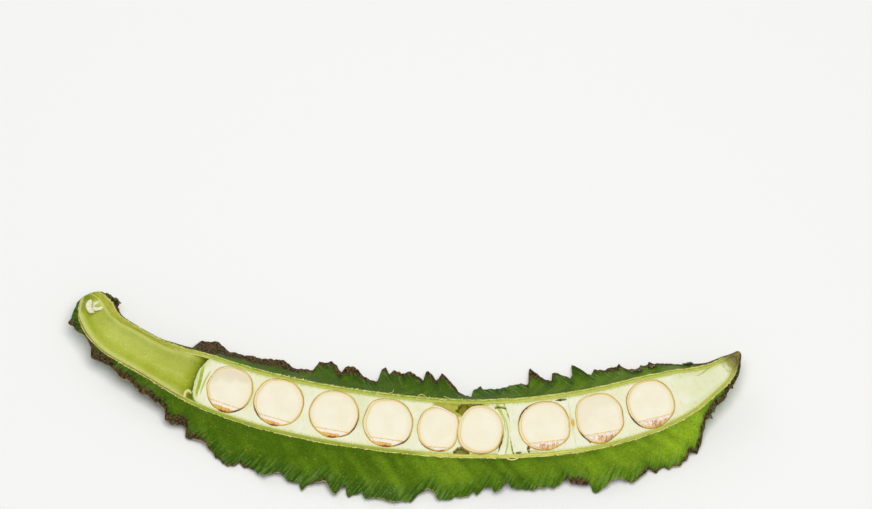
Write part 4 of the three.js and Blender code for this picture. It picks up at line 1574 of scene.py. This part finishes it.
SEEDS = (
    Seed(
        40.0, 0.6,
        (5.54, 5.52, 5.54, 5.64, 5.61, 5.42, 5.33, 5.37, 5.44, 5.44, 5.23, 5.04, 5.06, 5.06, 5.05, 5.2, 5.45,
         5.62, 5.85, 5.98, 5.95, 5.9, 5.82, 5.64),
        depth=4.8, hilum=-3.85, tilt=0.02, scar=(-2.2, 2.4), spot=(0.7, 0.9, 1.1), dark=(305, 22, 1.0),
        soft_coat=0.6, facet=(1.0, 0.5, 1.0),
    ),
    Seed(
        51.8, 0.8,
        (5.74, 5.75, 5.77, 5.8, 5.8, 5.71, 5.63, 5.69, 5.85, 5.89, 5.75, 5.68, 5.71, 5.73, 5.77, 5.75, 5.76,
         5.79, 5.83, 5.8, 5.81, 5.87, 5.84, 5.76),
        depth=5.0, hilum=-3.95, tilt=-0.04, scar=(-2.9, 1.4), spot=(0.3, 1.1, 0.9), dark=(218, 20, 1.0),
        soft_coat=0.7,
    ),
    Seed(
        64.6, 0.7,
        (5.75, 5.74, 5.72, 5.79, 5.81, 5.73, 5.67, 5.71, 5.78, 5.76, 5.67, 5.63, 5.66, 5.65, 5.62, 5.6, 5.62,
         5.72, 5.78, 5.76, 5.79, 5.97, 5.94, 5.79),
        depth=4.9, hilum=-3.85, scar=(-2.6, 1.9), spot=(0.5, 1.0, 1.1), dark=(335, 28, 0.9), soft_coat=0.34,
    ),
    Seed(
        76.9, 0.4,
        (5.84, 5.85, 5.81, 5.85, 5.93, 5.86, 5.78, 5.88, 6.09, 6.07, 5.78, 5.58, 5.61, 5.64, 5.64, 5.72, 5.85,
         5.85, 5.86, 5.86, 5.92, 6.1, 6.08, 5.89),
        depth=5.0, hilum=-3.95, tilt=-0.02, scar=(-3.2, 1.3), spot=(0.3, 1.1, 1.1), dark=(312, 20, 1.0),
        soft_coat=0.85,
    ),
    Seed(
        88.3, 0.2,
        (4.66, 4.94, 5.23, 5.34, 5.35, 5.37, 5.34, 5.24, 5.2, 5.1, 4.86, 4.71, 4.7, 4.72, 4.9, 5.23, 5.4, 5.5,
         5.62, 5.72, 5.72, 5.55, 5.18, 4.75),
        depth=4.7, hilum=-4.6, scar=(0.2, 2.4), spot=(1.2, 0.75, 1.7), dark=(250, 25, 0.5), faint=0.1,
        soft_coat=0.55,
    ),
    Seed(
        97.9, 0.1,
        (5.21, 5.31, 5.39, 5.47, 5.57, 5.62, 5.67, 5.73, 5.57, 5.29, 5.13, 5.06, 5.06, 5.33, 5.69, 5.85, 5.86,
         5.83, 5.82, 5.89, 5.94, 5.79, 5.5, 5.26),
        depth=5.7, proud=0.4, hilum=-8.0, scar=(9, 9.5), spot=(0, 1, 0), dark=(330, 25, 0.75), faint=0.55,
        soft_coat=0.75,
    ),
    Seed(
        112.2, 0.2,
        (5.95, 6.01, 6.12, 6.2, 6.12, 5.9, 5.76, 5.73, 5.79, 5.88, 5.86, 5.79, 5.83, 5.9, 5.95, 6.03, 6.1,
         6.12, 6.12, 6.1, 6.14, 6.3, 6.3, 6.09),
        depth=5.0, hilum=-3.95, scar=(-3.9, 2.9), spot=(-0.2, 2.6, 1.1), ripe=1.0, dark=(140, 28, 0.9),
        soft_coat=0.8,
    ),
    Seed(
        124.9, -0.1,
        (5.48, 5.67, 5.72, 5.85, 6.03, 5.95, 5.86, 6.0, 6.13, 6.0, 5.66, 5.4, 5.44, 5.64, 5.83, 6.06, 6.27,
         6.33, 6.21, 5.92, 5.74, 5.83, 5.77, 5.49),
        depth=5.0, hilum=-3.75, tilt=-0.06, scar=(-3.6, 2.6), spot=(0.6, 2.2, 1.2), ripe=1.0,
        dark=(222, 18, 1.0), soft_coat=0.55, facet=(0.9, 0.55, 0.4),
    ),
    Seed(
        137.0, -0.2,
        (5.3, 5.35, 5.43, 5.6, 5.66, 5.58, 5.6, 5.71, 5.73, 5.72, 5.68, 5.58, 5.57, 5.71, 5.92, 6.17, 6.28,
         6.18, 6.02, 5.85, 5.7, 5.66, 5.56, 5.36),
        depth=4.8, hilum=-3.75, tilt=-0.1, scar=(-3.4, 2.4), spot=(-0.4, 2.4, 1.2), ripe=1.0,
        dark=(212, 20, 1.0), soft_coat=0.7,
    ),
)


# ---- Pith ----


@dataclass(frozen=True)
class PithBlock:
    """The white filling of one stretch of the hollow, with a cell for each seed in it.

    Attributes:
        name: name of the piece.
        node: the CAD node it stands for.
        start: where it begins along the spine, by the part of the way across (-1 front, 1 back).
        end: where it ends, likewise.
        seeds: the seeds that lie in it.
        torn: whether its start is a torn, folded edge.
        gaps: torn holes, each by its middle, half sizes and depth.
        pitch: distance between grid lines.
    """

    name: str
    node: str
    start: Knots
    end: Knots
    seeds: tuple[Seed, ...]
    torn: bool
    gaps: tuple[tuple[tuple[float, float], tuple[float, float], float], ...]
    pitch: float = 0.16

    def build(self, form: PodForm) -> bpy.types.Object:
        """Makes the block as a height over (s, across) on top of the hollow's own shape.

        The top is just under the cut face with fibres and a soft lip round each seed, and dips into each
        cell as depth (1 - r^2.4)^(1/2.4). The torn start curls up, then folds down and up again.

        Args:
            form: the pod's widths and depths.

        Returns:
            The dressed block.
        """
        rows = int((self.end[len(self.end) // 2][1] - self.start[0][1]) / self.pitch)
        columns = int(12 / self.pitch)
        t = np.linspace(0, 1, rows)[:, None]
        q = np.sin(np.linspace(-math.pi / 2, math.pi / 2, columns)[None, :] * 0.94) / math.sin(0.47 * math.pi)
        first = follow(self.start, q) + 0.16 * rough(q * 6, 4.4, 12, 3)
        last = follow(self.end, q)
        s = first + (last - first) * t
        inner = form.inside(s) + 0.1
        u = q * inner
        floor = -(form.depth(s) - 0.1) * (1 - np.abs(q) ** SQUARENESS) ** (1 / SQUARENESS)
        sway = form.sway(s)
        flat = form.spine.place(s, u + sway, 0.0)
        top = -0.06 + 0.045 * rough(s / 0.9, u / 1.6, 14, 3) - 0.08 * ease(0.94, 1, np.abs(q))
        edge = np.full(s.shape, 9.0)
        for seed in self.seeds:
            r, away = seed.spread(form.spine, flat, -0.17)
            edge = np.minimum(edge, away)
            cell = -(seed.depth + 0.12) * np.maximum(1 - r**SQUARENESS, 0) ** (1 / SQUARENESS)
            top = np.where(r < 1, np.minimum(top, cell - 0.02), top)
        outside = edge > 0
        top = top + 0.05 * hump(edge, 0.45, 0.25) * outside
        stripe = np.zeros(s.shape)
        d = s - first
        if self.torn:
            middle = np.exp(-(((q + 0.05) / 0.66) ** 4))
            groove = s - follow(((-1, 34.6), (-0.6, 33.75), (-0.3, 33.5), (0, 33.2), (0.5, 32.65), (1, 32.4)), q)
            second = s - follow(((-1, 35.6), (-0.6, 34.7), (-0.2, 34.4), (0.3, 34.4), (1, 34.8)), q)
            low = -0.6 * hump(groove, 0.1, 0.2) - 0.22 * hump(second, 0, 0.18)
            crest = 0.25 * hump(groove, -0.45, 0.3) + 0.1 * hump(groove, 0.6, 0.3)
            top = top + np.where(edge > 0.1, (low + crest) * middle, 0)
            top = top - 2.2 * ease(0.2, 0, d) ** 2
            stripe = (1.6 * hump(groove, 0.05, 0.34) + 0.9 * hump(second, 0, 0.26)) * middle
        tint = 0.5 * ease(1.8, 0.2, d) * self.torn + 0.16 * ease(143, 150, s)
        tint = tint + 0.3 * ease(0.5, 0.95, np.abs(q)) * ease(142, 146, s)
        tint = tint + 0.22 * ease(-0.1, 0.8, rough(s / 5, u / 5, 18)) * ease(36, 40, s) * ease(90, 75, s)
        brown = ease(153.8, 161, s + 0.5 * np.abs(q)) + 0.1 * ease(0.9, 1, np.abs(q)) * ease(148, 154, s)
        tissue = ease(86, 87.5, s) * ease(103, 97, s) * ease(0.6, 0.74, q + 0.22 * ease(90, 92, s))
        shade = tissue * (0.3 + 0.25 * rough(s / 1.5, u / 0.6, 16, 2))
        stripe = stripe + 0.9 * tissue
        gold = 0.3 * tissue + (1 + 0.5 * rough(s / 0.4, u / 1.2, 17)) * hump(s, 118.7, 0.55) * hump(u, -0.2, 1.5)
        strands = hump(s, 118.6, 0.22) + 0.7 * hump(s, 119.15, 0.16)
        stripe = stripe + 0.55 * strands * ease(0.6, 1.6, np.abs(u)) * ease(6.2, 5.4, np.abs(u))
        crack = hump(u + sway - follow(((149, 1.3), (150.5, 1.12), (153, 1.45), (156, 1.9)), s), 0, 0.11)
        crack = crack * ease(149.0, 149.6, s) * ease(155.5, 154.5, s)
        top = top - 0.3 * crack
        stripe = stripe + 0.9 * crack
        for middle, half, deep in self.gaps:
            near = np.hypot((s - middle[0]) / half[0], (u + sway - middle[1]) / half[1])
            near = near + 0.25 * rough(s / 0.7, u / 0.7, 15, 2)
            hole = ease(1.15, 0.8, near)
            top = np.minimum(top, top * (1 - hole) - deep * hole)
            shade = np.maximum(shade, 0.95 * ease(0.08, 0.25, hole))
            brown = brown * (1 - hole)
        top = np.maximum(top, floor + 0.05)
        floor = np.minimum(floor, top - 0.04)
        values = {
            "lay": vectors(s, (1 - np.abs(q)) * inner, -top),
            "wear": vectors(stripe, np.clip(tint, 0, 1), brown),
            "mark": vectors(gold, np.clip(shade, 0, 1), 0),
        }
        solid = slab(*(form.spine.place(s, u + sway, v) for v in (top, floor)), values)
        return solid.piece(self.name, [SpongyPith()], "pith", (self.node,), crease=60)


@dataclass(frozen=True)
class SeptumFolds:
    """Thin white partitions that crumple together between two seeds, each a curved upright sheet.

    Attributes:
        sheets: for each sheet, its two faces as places along the spine by places across it.
        height: how far its crest stands above or below the cut face.
        green: how green each sheet is.
        low: height of the lower edge of both.
        grid: grid lines through a sheet and across the pod.
    """

    sheets: tuple[tuple[Knots, Knots], ...] = (
        (
            (
                (-5.5, 101.75), (-4.4, 102.2), (-3, 102.75), (-1, 103.12), (0.5, 103.15), (2, 102.95),
                (3.3, 102.3), (4.6, 101.2), (5.2, 100.9), (6.15, 100.7),
            ),
            (
                (-5.5, 103.4), (-4.4, 103.75), (-3, 104.05), (-1, 104.15), (0.5, 104.1), (2, 103.85),
                (3.3, 103.4), (4.6, 102.95), (5.2, 102.6), (6.15, 102.3),
            ),
        ),
        (
            (
                (-5.5, 103.42), (-4.4, 103.77), (-3, 104.07), (-1, 104.17), (0.5, 104.12), (2, 103.87),
                (3.3, 103.42), (4.6, 102.97), (5.6, 102.5), (6.15, 102.2),
            ),
            (
                (-5.5, 104.75), (-4.4, 104.6), (-3, 104.5), (-1, 104.45), (0.5, 104.5), (2, 104.55),
                (3.3, 104.3), (4.6, 104.0), (5.6, 103.75), (6.15, 103.6),
            ),
        ),
    )
    height: tuple[float, ...] = (-0.02, -0.08)
    green: tuple[float, ...] = (0.0, 0.06)
    low: float = -4.2
    grid: tuple[int, int] = (12, 90)

    def build(self, form: PodForm) -> bpy.types.Object:
        """Makes each sheet as a height over (part of its thickness, across): a crest (1 - x^4) with streaks.

        Args:
            form: the pod's widths and depths.

        Returns:
            The dressed sheets in one piece.
        """
        bodies, t = [], np.linspace(0, 1, self.grid[0])[:, None]
        u = np.linspace(-6.0, self.sheets[0][0][-1][0], self.grid[1])[None, :]
        crest = 1 - np.abs(2 * t - 1) ** 4
        for number, ((near, far), height, green) in enumerate(zip(self.sheets, self.height, self.green)):
            first, last = follow(near, u) - 0.12, follow(far, u) + 0.1 * number
            s = first + (last - first) * t + 0.05 * rough(u / 0.8, t * 2, 70 + number, 2)
            v = height - 0.12 * (1 - crest) - 0.08 * np.abs(rough(t * 3.2, u / 4, 80 + number, 2))
            v = v + 0.05 * rough(u / 0.6, t, 81, 2)
            # The slit dips 1.1 mm, and painted shade darkens it down its length.
            slit = hump(u + 0.14 * (s - 102.3) ** 2, 5.45, 0.18) * ease(104.2, 103.6, s)
            v = v - 1.1 * slit
            stripe = 1.2 * hump(t, 0.42 + 0.05 * u, 0.13) * ease(-2, 2, u) * (number == 0)
            stripe = stripe + 1.3 * hump(t, 1.0, 0.2) + 0.8 * hump(t, 0.0, 0.16) * ease(-3, 1, u)
            values = {
                "lay": vectors(s, 2, -v), "wear": vectors(np.clip(stripe, 0, 1), green, 0),
                "mark": vectors(0, 0.95 * ease(0.2, 0.6, slit), 0),
            }
            bodies.append(slab(form.spine.place(s, u, v), form.spine.place(s, u, self.low + 0 * v), values))
        folds = reduce(Solid.joined, bodies)
        return folds.piece("septum_folds", [SpongyPith()], "pith", ("septum_flap",), crease=60)


@dataclass(frozen=True)
class PithCurl:
    """A scrap of dry pith left at the stalk end, curled into three soft lobes.

    Attributes:
        lobes: for each lobe, points as s, u, v and half width along its middle.
        rings: circles along a lobe.
        sides: points round a circle.
    """

    lobes: tuple[Line, ...] = (
        (
            (0.7, 0.1, -0.1, 0.25), (0.95, -0.5, 0.05, 0.5), (1.5, -1.05, 0.05, 0.68),
            (2.3, -1.15, -0.2, 0.66), (3.0, -0.85, -0.45, 0.62), (3.5, -0.4, -0.8, 0.35),
        ),
        (
            (2.2, -0.3, -0.35, 0.45), (2.8, 0.0, -0.4, 0.5), (3.1, 0.6, -0.45, 0.42), (3.15, 1.2, -0.5, 0.36),
            (2.95, 1.8, -0.5, 0.34), (2.8, 2.25, -0.65, 0.2),
        ),
        (
            (2.1, -0.2, -0.35, 0.4), (1.75, 0.4, -0.2, 0.42), (1.7, 0.95, -0.15, 0.32),
            (1.45, 1.4, -0.15, 0.25), (1.1, 0.9, -0.2, 0.22), (0.95, 0.45, -0.25, 0.16),
        ),
    )
    rings: int = 42
    sides: int = 26

    def build(self, form: PodForm) -> bpy.types.Object:
        """Carries a flattened, wrinkled circle along each lobe's smoothed middle line.

        Args:
            form: the pod's widths and depths.

        Returns:
            The dressed scrap.
        """
        angle = np.linspace(0, 2 * math.pi, self.sides, endpoint=False)[None, :]
        cos, sin = np.cos(angle), np.sin(angle)
        bodies = []
        for number, lobe in enumerate(self.lobes):
            at = np.linspace(0, len(lobe) - 1, self.rings)[:, None]
            s, u, v, half = (part[:, None] for part in smooth_line(lobe, self.rings))
            ahead = np.gradient(np.hstack([s, u]), axis=0)
            ahead /= np.linalg.norm(ahead, axis=1, keepdims=True)
            ends = np.sqrt(np.clip(1 - (2 * at / at[-1] - 1) ** 6, 0.02, 1))
            wide = half * ends * (1 + 0.22 * rough(at * 2.2, cos * 2, 21 + number, 2))
            out = wide * cos
            up = 0.62 * wide * sin - 0.28 * hump(cos, 0.1 * np.sin(3 * at), 0.3) * (sin > 0)
            across = u + out * ahead[:, :1] + form.sway(s)
            rings = form.spine.place(s - out * ahead[:, 1:], across, v + up)
            values = {"lay": vectors(s, 2, -up), "wear": vectors(0 * up, 0.02, 0)}
            bodies.append(tube(rings, rings[0].mean(0), rings[-1].mean(0), values))
        scrap = reduce(Solid.joined, bodies)
        return scrap.piece("pith_scrap_curls", [SpongyPith()], "pith", ("pith_scrap",), crease=70)


STALK_SIDE = PithBlock(
    "pith_towards_stalk", "pith_stalk_side", seeds=SEEDS[:6], torn=True,
    start=((-1, 35.4), (-0.93, 34), (-0.65, 32.8), (-0.35, 32.35), (0, 32), (0.35, 31.8), (0.8, 32.5), (1, 33)),
    end=((-1, 101.6), (0, 102.3), (1, 101.1)),
    gaps=(((94.2, 5.0), (1.75, 1.5), 1.8), ((93.7, -5.0), (1.6, 0.95), 1.6), ((96.5, 6.15), (2.2, 0.28), 0.9)),
)
TIP_SIDE = PithBlock(
    "pith_towards_tip", "pith_tip_side", seeds=SEEDS[6:], torn=False,
    start=(
        (-1, 105.2), (-0.9, 104.95), (-0.6, 104.72), (-0.3, 104.5), (0, 104.46), (0.35, 104.52),
        (0.65, 104.2), (0.9, 103.85), (1, 103.7),
    ),
    end=((-1, 158.7), (0, 159.7), (1, 158.7)),
    gaps=(
        ((116.9, 5.75), (1.15, 0.24), 1.4), ((108.25, -5.15), (0.28, 0.75), 1.2),
        ((106.05, -5.75), (0.55, 0.22), 1.2), ((121.7, -5.2), (0.24, 0.32), 0.5),
    ),
)


# ---- Small torn things ----


@dataclass(frozen=True)
class TornFlakes:
    """Slivers of skin that the knife tore up along the outer edges of the cut.

    Attributes:
        count: how many slivers on each side.
        shortest: length of the shortest.
        longest: length of the longest.
        grid: grid lines along and across a sliver.
    """

    count: int = 330
    shortest: float = 0.18
    longest: float = 0.95
    grid: tuple[int, int] = (5, 4)

    def build(self, form: PodForm) -> bpy.types.Object:
        """Bends a small sheet for each: a patch of the rim's edge, lifted as the square of the way out.

        Args:
            form: the pod's widths and depths.

        Returns:
            All slivers in one piece.
        """
        draw = np.random.default_rng(11)
        n = 2 * self.count
        side = np.repeat((1.0, -1.0), self.count)
        s = draw.uniform(0.5, 157.5, n)
        clustered = rough(s / 4, 2.2 + side, 88) > -0.35
        s, side = s[clustered], side[clustered]
        n = len(s)
        long = self.shortest + (self.longest - self.shortest) * draw.random(n) ** 2.5
        wide = draw.uniform(0.1, 0.3, n)
        rise, lean = draw.uniform(-0.02, 0.22, n), draw.uniform(-0.5, 0.5, n)
        back = draw.uniform(-0.32, 0.05, n)
        pick = draw.random(n)
        p = np.linspace(-0.5, 0.5, self.grid[0])[None, :, None]
        q = np.linspace(0, 1, self.grid[1])[None, None, :]
        s, side, long, wide, rise, lean, back, pick = (
            x[:, None, None] for x in (s, side, long, wide, rise, lean, back, pick)
        )
        narrow = 1 - (2 * p) ** 2 * 0.9
        along = s + p * long + lean * q * wide
        out = form.half(along) + back + q * wide * narrow
        v = 0.03 + rise * q**2 * narrow + 0.05 * rough(along * 3, q * 2, 91)
        u = side * out + form.sway(along)
        sheets = (form.spine.place(along, u, v + shift) for shift in (0.03, -0.05))
        solid = slab(*sheets, {"wear": vectors(pick + 0 * v, 0, 0)})
        return solid.piece("torn_skin_flakes", [TornSkin()], "pod_skin", crease=80)


@dataclass(frozen=True)
class DriedScraps:
    """Shrivelled bits of skin that cling to the wings at the two ends of the pod.

    Attributes:
        bits: for each, its wing, place along, place down the wing, length, breadth and turn in degrees.
        grid: grid lines along and across a bit.
    """

    bits: tuple[tuple[Wing, float, float, float, float, float], ...] = (
        (BACK_WING, 1.5, 0.5, 1.9, 0.9, 40), (BACK_WING, 2.2, 1.3, 1.5, 0.9, 75),
        (BACK_WING, 2.9, 1.7, 1.5, 0.8, 20), (FRONT_WING, 3.5, 1.7, 1.3, 1.2, 80),
        (FRONT_WING, 147.2, 3.0, 1.8, 0.7, 55),
        (FRONT_WING, 148.7, 1.9, 2.4, 1.0, 130), (FRONT_WING, 150.4, 1.3, 1.9, 0.8, 100),
        (FRONT_WING, 152.3, 1.2, 1.3, 0.7, 70), (FRONT_WING, 154.3, 0.9, 1.0, 0.5, 60),
        (BACK_WING, 137.4, 3.6, 2.6, 1.3, 15), (BACK_WING, 141.3, 4.6, 2.2, 1.4, 160),
        (BACK_WING, 149.6, 2.8, 2.0, 1.0, 170),
    )
    grid: tuple[int, int] = (15, 8)

    def build(self, form: PodForm) -> bpy.types.Object:
        """Crumples a small oval sheet for each, held a little off the wing.

        An oval with a ragged outline is turned and laid on the wing's surface, and bumps of 0.5 mm and its
        raised long edges lift it by up to 0.65 mm.

        Args:
            form: the pod's widths and depths.

        Returns:
            All the bits in one piece.
        """
        p, q = np.linspace(-0.5, 0.5, self.grid[0])[:, None], np.linspace(-0.5, 0.5, self.grid[1])[None, :]
        bodies = []
        for number, (wing, at, down, long, wide, turn) in enumerate(self.bits):
            ragged = 1 + 0.35 * rough(p * 7, q * 2, 61 + number, 2)
            x, y = long * p * ragged, wide * q * np.sqrt(1.05 - (2 * p) ** 2) * ragged
            cos, sin = math.cos(math.radians(turn)), math.sin(math.radians(turn))
            s, width = at + x * cos - y * sin, np.maximum(down + x * sin + y * cos, 0.05)
            lift = 0.18 + 0.22 * rough(x / 0.5, y / 0.5, 75 + number, 2) + 0.25 * (2 * np.abs(q)) ** 2
            sheets = []
            for below in (-lift - 0.07, -lift):
                u, v = wing.surface(form, s, width, below)
                sheets.append(form.spine.place(s, u + form.sway(s), v))
            bodies.append(slab(*sheets, {}))
        return reduce(Solid.joined, bodies).piece("dried_skin_scraps", [DriedScrap()], "pod_skin", crease=80)


@dataclass(frozen=True)
class LooseFibres:
    """Loops of fibre over both rims, the coat's fold at the fifth seed and a seed stalk's stub.

    Attributes:
        loops: for each, points as s, u and v along it, and its radius.
        fold: line of the coat that folded back from the fifth seed.
        seam: line of the golden edge of that fold.
        stub: line of the seed stalk's stub.
    """

    loops: tuple[tuple[Line, float], ...] = (
        (
            (
                (83.0, 6.9, 0.05), (83.3, 7.5, 0.35), (83.9, 7.8, 0.5), (84.6, 7.6, 0.4), (85.2, 7.2, 0.15),
                (85.4, 6.9, 0.0),
            ),
            0.07,
        ),
        (((103.5, -7.0, -0.1), (104.2, -7.3, -0.05), (105.0, -7.35, -0.05), (105.9, -7.0, -0.1)), 0.16),
        (((108.3, -5.3, -0.1), (108.9, -5.6, 0.1), (109.8, -5.7, 0.1), (110.5, -6.0, 0.0)), 0.12),
        (((85.7, 7.7, 0.1), (85.9, 7.3, 0.3), (85.8, 6.9, 0.1)), 0.05),
        (((89.2, 7.9, 0.0), (90.2, 7.5, 0.3), (91.2, 7.2, 0.12)), 0.06),
        (((75.8, 7.0, 0.05), (76.4, 7.35, 0.35), (77.1, 7.6, 0.5), (77.3, 8.3, 0.2)), 0.06),
        (((88.2, 6.9, 0.05), (88.8, 7.0, 0.3), (89.8, 6.7, 0.1)), 0.09),
        (((24.8, 3.9, 0.05), (25.1, 4.2, 0.2), (25.6, 4.4, 0.1)), 0.06),
    )
    fold: Line = (
        (86.5, 5.3, -0.2), (87.5, 5.3, 0.0), (88.6, 5.05, 0.05), (89.8, 4.6, 0.05), (91.2, 3.9, 0.0),
        (92.3, 3.2, -0.15),
    )
    seam: Line = ((87.9, 5.6, -0.1), (88.7, 5.5, 0.1), (89.8, 5.05, 0.12), (91.2, 4.35, 0.1), (92.4, 3.7, -0.15))
    stub: Line = (
        (31.75, -5.4, -0.5), (31.6, -4.9, -0.3), (31.5, -4.4, -0.15), (31.55, -4.0, -0.05),
        (31.85, -3.7, 0.0), (32.25, -3.6, 0.0), (32.65, -3.8, -0.3),
    )

    def build(self, form: PodForm) -> list[bpy.types.Object]:
        """Sweeps a small circle along each smoothed line.

        Args:
            form: the pod's widths and depths.

        Returns:
            The fibres, the fold of coat, and the seed-stalk stub.
        """
        fibres = reduce(Solid.joined, [thread(self.path(form, line), radius, 0.3) for line, radius in self.loops])
        fold, seam = thread(self.path(form, self.fold), 0.24, 0.1), thread(self.path(form, self.seam), 0.13, 0.75)
        coat = TornSkin("folded_seed_coat", "#f6eeda", "#d4a52c")
        path = self.path(form, self.stub)
        part = np.linspace(0, 1, len(path))
        stub = thread(path, 0.42 - 0.16 * part + 0.12 * hump(part, 0.7, 0.15), 0.5, 12)
        return [
            fibres.piece("rim_fibre_loops", [TornSkin()], "pod_skin", crease=80),
            fold.joined(seam).piece("seed_coat_fold", [coat], "seed", crease=80),
            stub.piece("seed_stalk_stub", [TornSkin()], "pith", crease=80),
        ]

    def path(self, form: PodForm, line: Line) -> Array:
        """The smoothed line in space, ten points to a span."""
        return form.spine.place(*smooth_line(line, 10 * (len(line) - 1)))


# ---- Studio ----


@dataclass
class Studio:
    """A plain pale floor, soft light from above and behind, and the camera.

    Attributes:
        aim: what the camera looks at, in millimetres.
        elevation: degrees the camera looks down.
        span: width of the view at the aim, in millimetres.
        lens: focal length in millimetres.
        sensor: width of the sensor in millimetres.
    """

    aim: tuple[float, float, float] = (6.67, 33.5, 7.4)
    elevation: float = 69.0
    span: float = 196.98
    lens: float = 600.0
    sensor: float = 36.0

    def floor(self) -> None:
        """A wide flat sheet of matt white board under the pod."""
        half = 1500.0
        t = np.array((-half, half))
        x, y = np.meshgrid(t, t, indexing="ij")
        top, bottom = (vectors(x, y, np.full_like(x, z)) for z in (-0.02, -20.0))
        solid = slab(top, bottom, {})
        mesh = bpy.data.meshes.new("floor")
        mesh.from_pydata((solid.points * MM).tolist(), [], solid.quads.tolist())
        board = Board("white_board")
        board.surface({"Base Color": "#fafafa", "Roughness": 0.7, "IOR": 1.35})
        mesh.materials.append(board.material)
        thing = bpy.data.objects.new("floor", mesh)
        bpy.context.scene.collection.objects.link(thing)

    def lamp(self, name: str, place: tuple[float, float, float], size: float, power: float, colour: str) -> None:
        """A square area lamp that faces the pod.

        Args:
            name: name of the lamp.
            place: where it stands, in metres.
            size: its side, in metres.
            power: its power in watts.
            colour: its colour.
        """
        light = bpy.data.lights.new(name, "AREA")
        light.shape = "SQUARE"
        light.size = size
        light.energy = power
        light.color = linear(colour)[:3]
        lamp = bpy.data.objects.new(name, light)
        bpy.context.scene.collection.objects.link(lamp)
        lamp.location = place
        lamp.rotation_mode = "QUATERNION"
        lamp.rotation_quaternion = (Vector((0, 0, 0.005)) - Vector(place)).to_track_quat("-Z", "Y")

    def build(self) -> None:
        """Sets up floor, lamps, surroundings, camera and the plain colour transform."""
        self.floor()
        self.lamp("soft_key", (0.06, -0.06, 0.96), 0.6, 6.5, "#fffdf8")
        self.lamp("back_light", (-0.55, 0.85, 0.6), 0.6, 1.7, "#fbfdff")
        world = bpy.data.worlds.new("pale_room")
        bpy.context.scene.world = world
        world.use_nodes = True
        backdrop = world.node_tree.nodes["Background"]
        backdrop.inputs["Color"].default_value = linear("#eef1f4")
        backdrop.inputs["Strength"].default_value = 0.34
        camera = bpy.data.cameras.new("camera")
        camera.lens, camera.sensor_width = self.lens, self.sensor
        camera.clip_start, camera.clip_end = 0.05, 20.0
        eye = bpy.data.objects.new("camera", camera)
        bpy.context.scene.collection.objects.link(eye)
        angle = math.radians(self.elevation)
        back = Vector((0, -math.cos(angle), math.sin(angle)))
        eye.location = Vector(self.aim) * MM + back * (self.lens / self.sensor * self.span * MM)
        eye.rotation_mode = "QUATERNION"
        eye.rotation_quaternion = (-back).to_track_quat("-Z", "Y")
        scene = bpy.context.scene
        scene.camera = eye
        scene.view_settings.view_transform = "Standard"


def corners(box: tuple[Vector, Vector]) -> list[list[float]]:
    """The two corners of a box as plain lists."""
    return [list(corner) for corner in box]


def main() -> None:
    """Builds the pod half piece by piece, then the studio."""
    logging.basicConfig(level=logging.INFO, format="%(name)s %(message)s")
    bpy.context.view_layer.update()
    form = PodForm(Spine())
    PodWall(form).build()
    for number, seed in enumerate(SEEDS, 1):
        seed.build(number, form.spine)
    for part in (STALK_SIDE, TIP_SIDE, SeptumFolds(), PithCurl(), TornFlakes(), DriedScraps(), LooseFibres()):
        part.build(form)
    Studio().build()


if __name__ == "__main__":
    main()
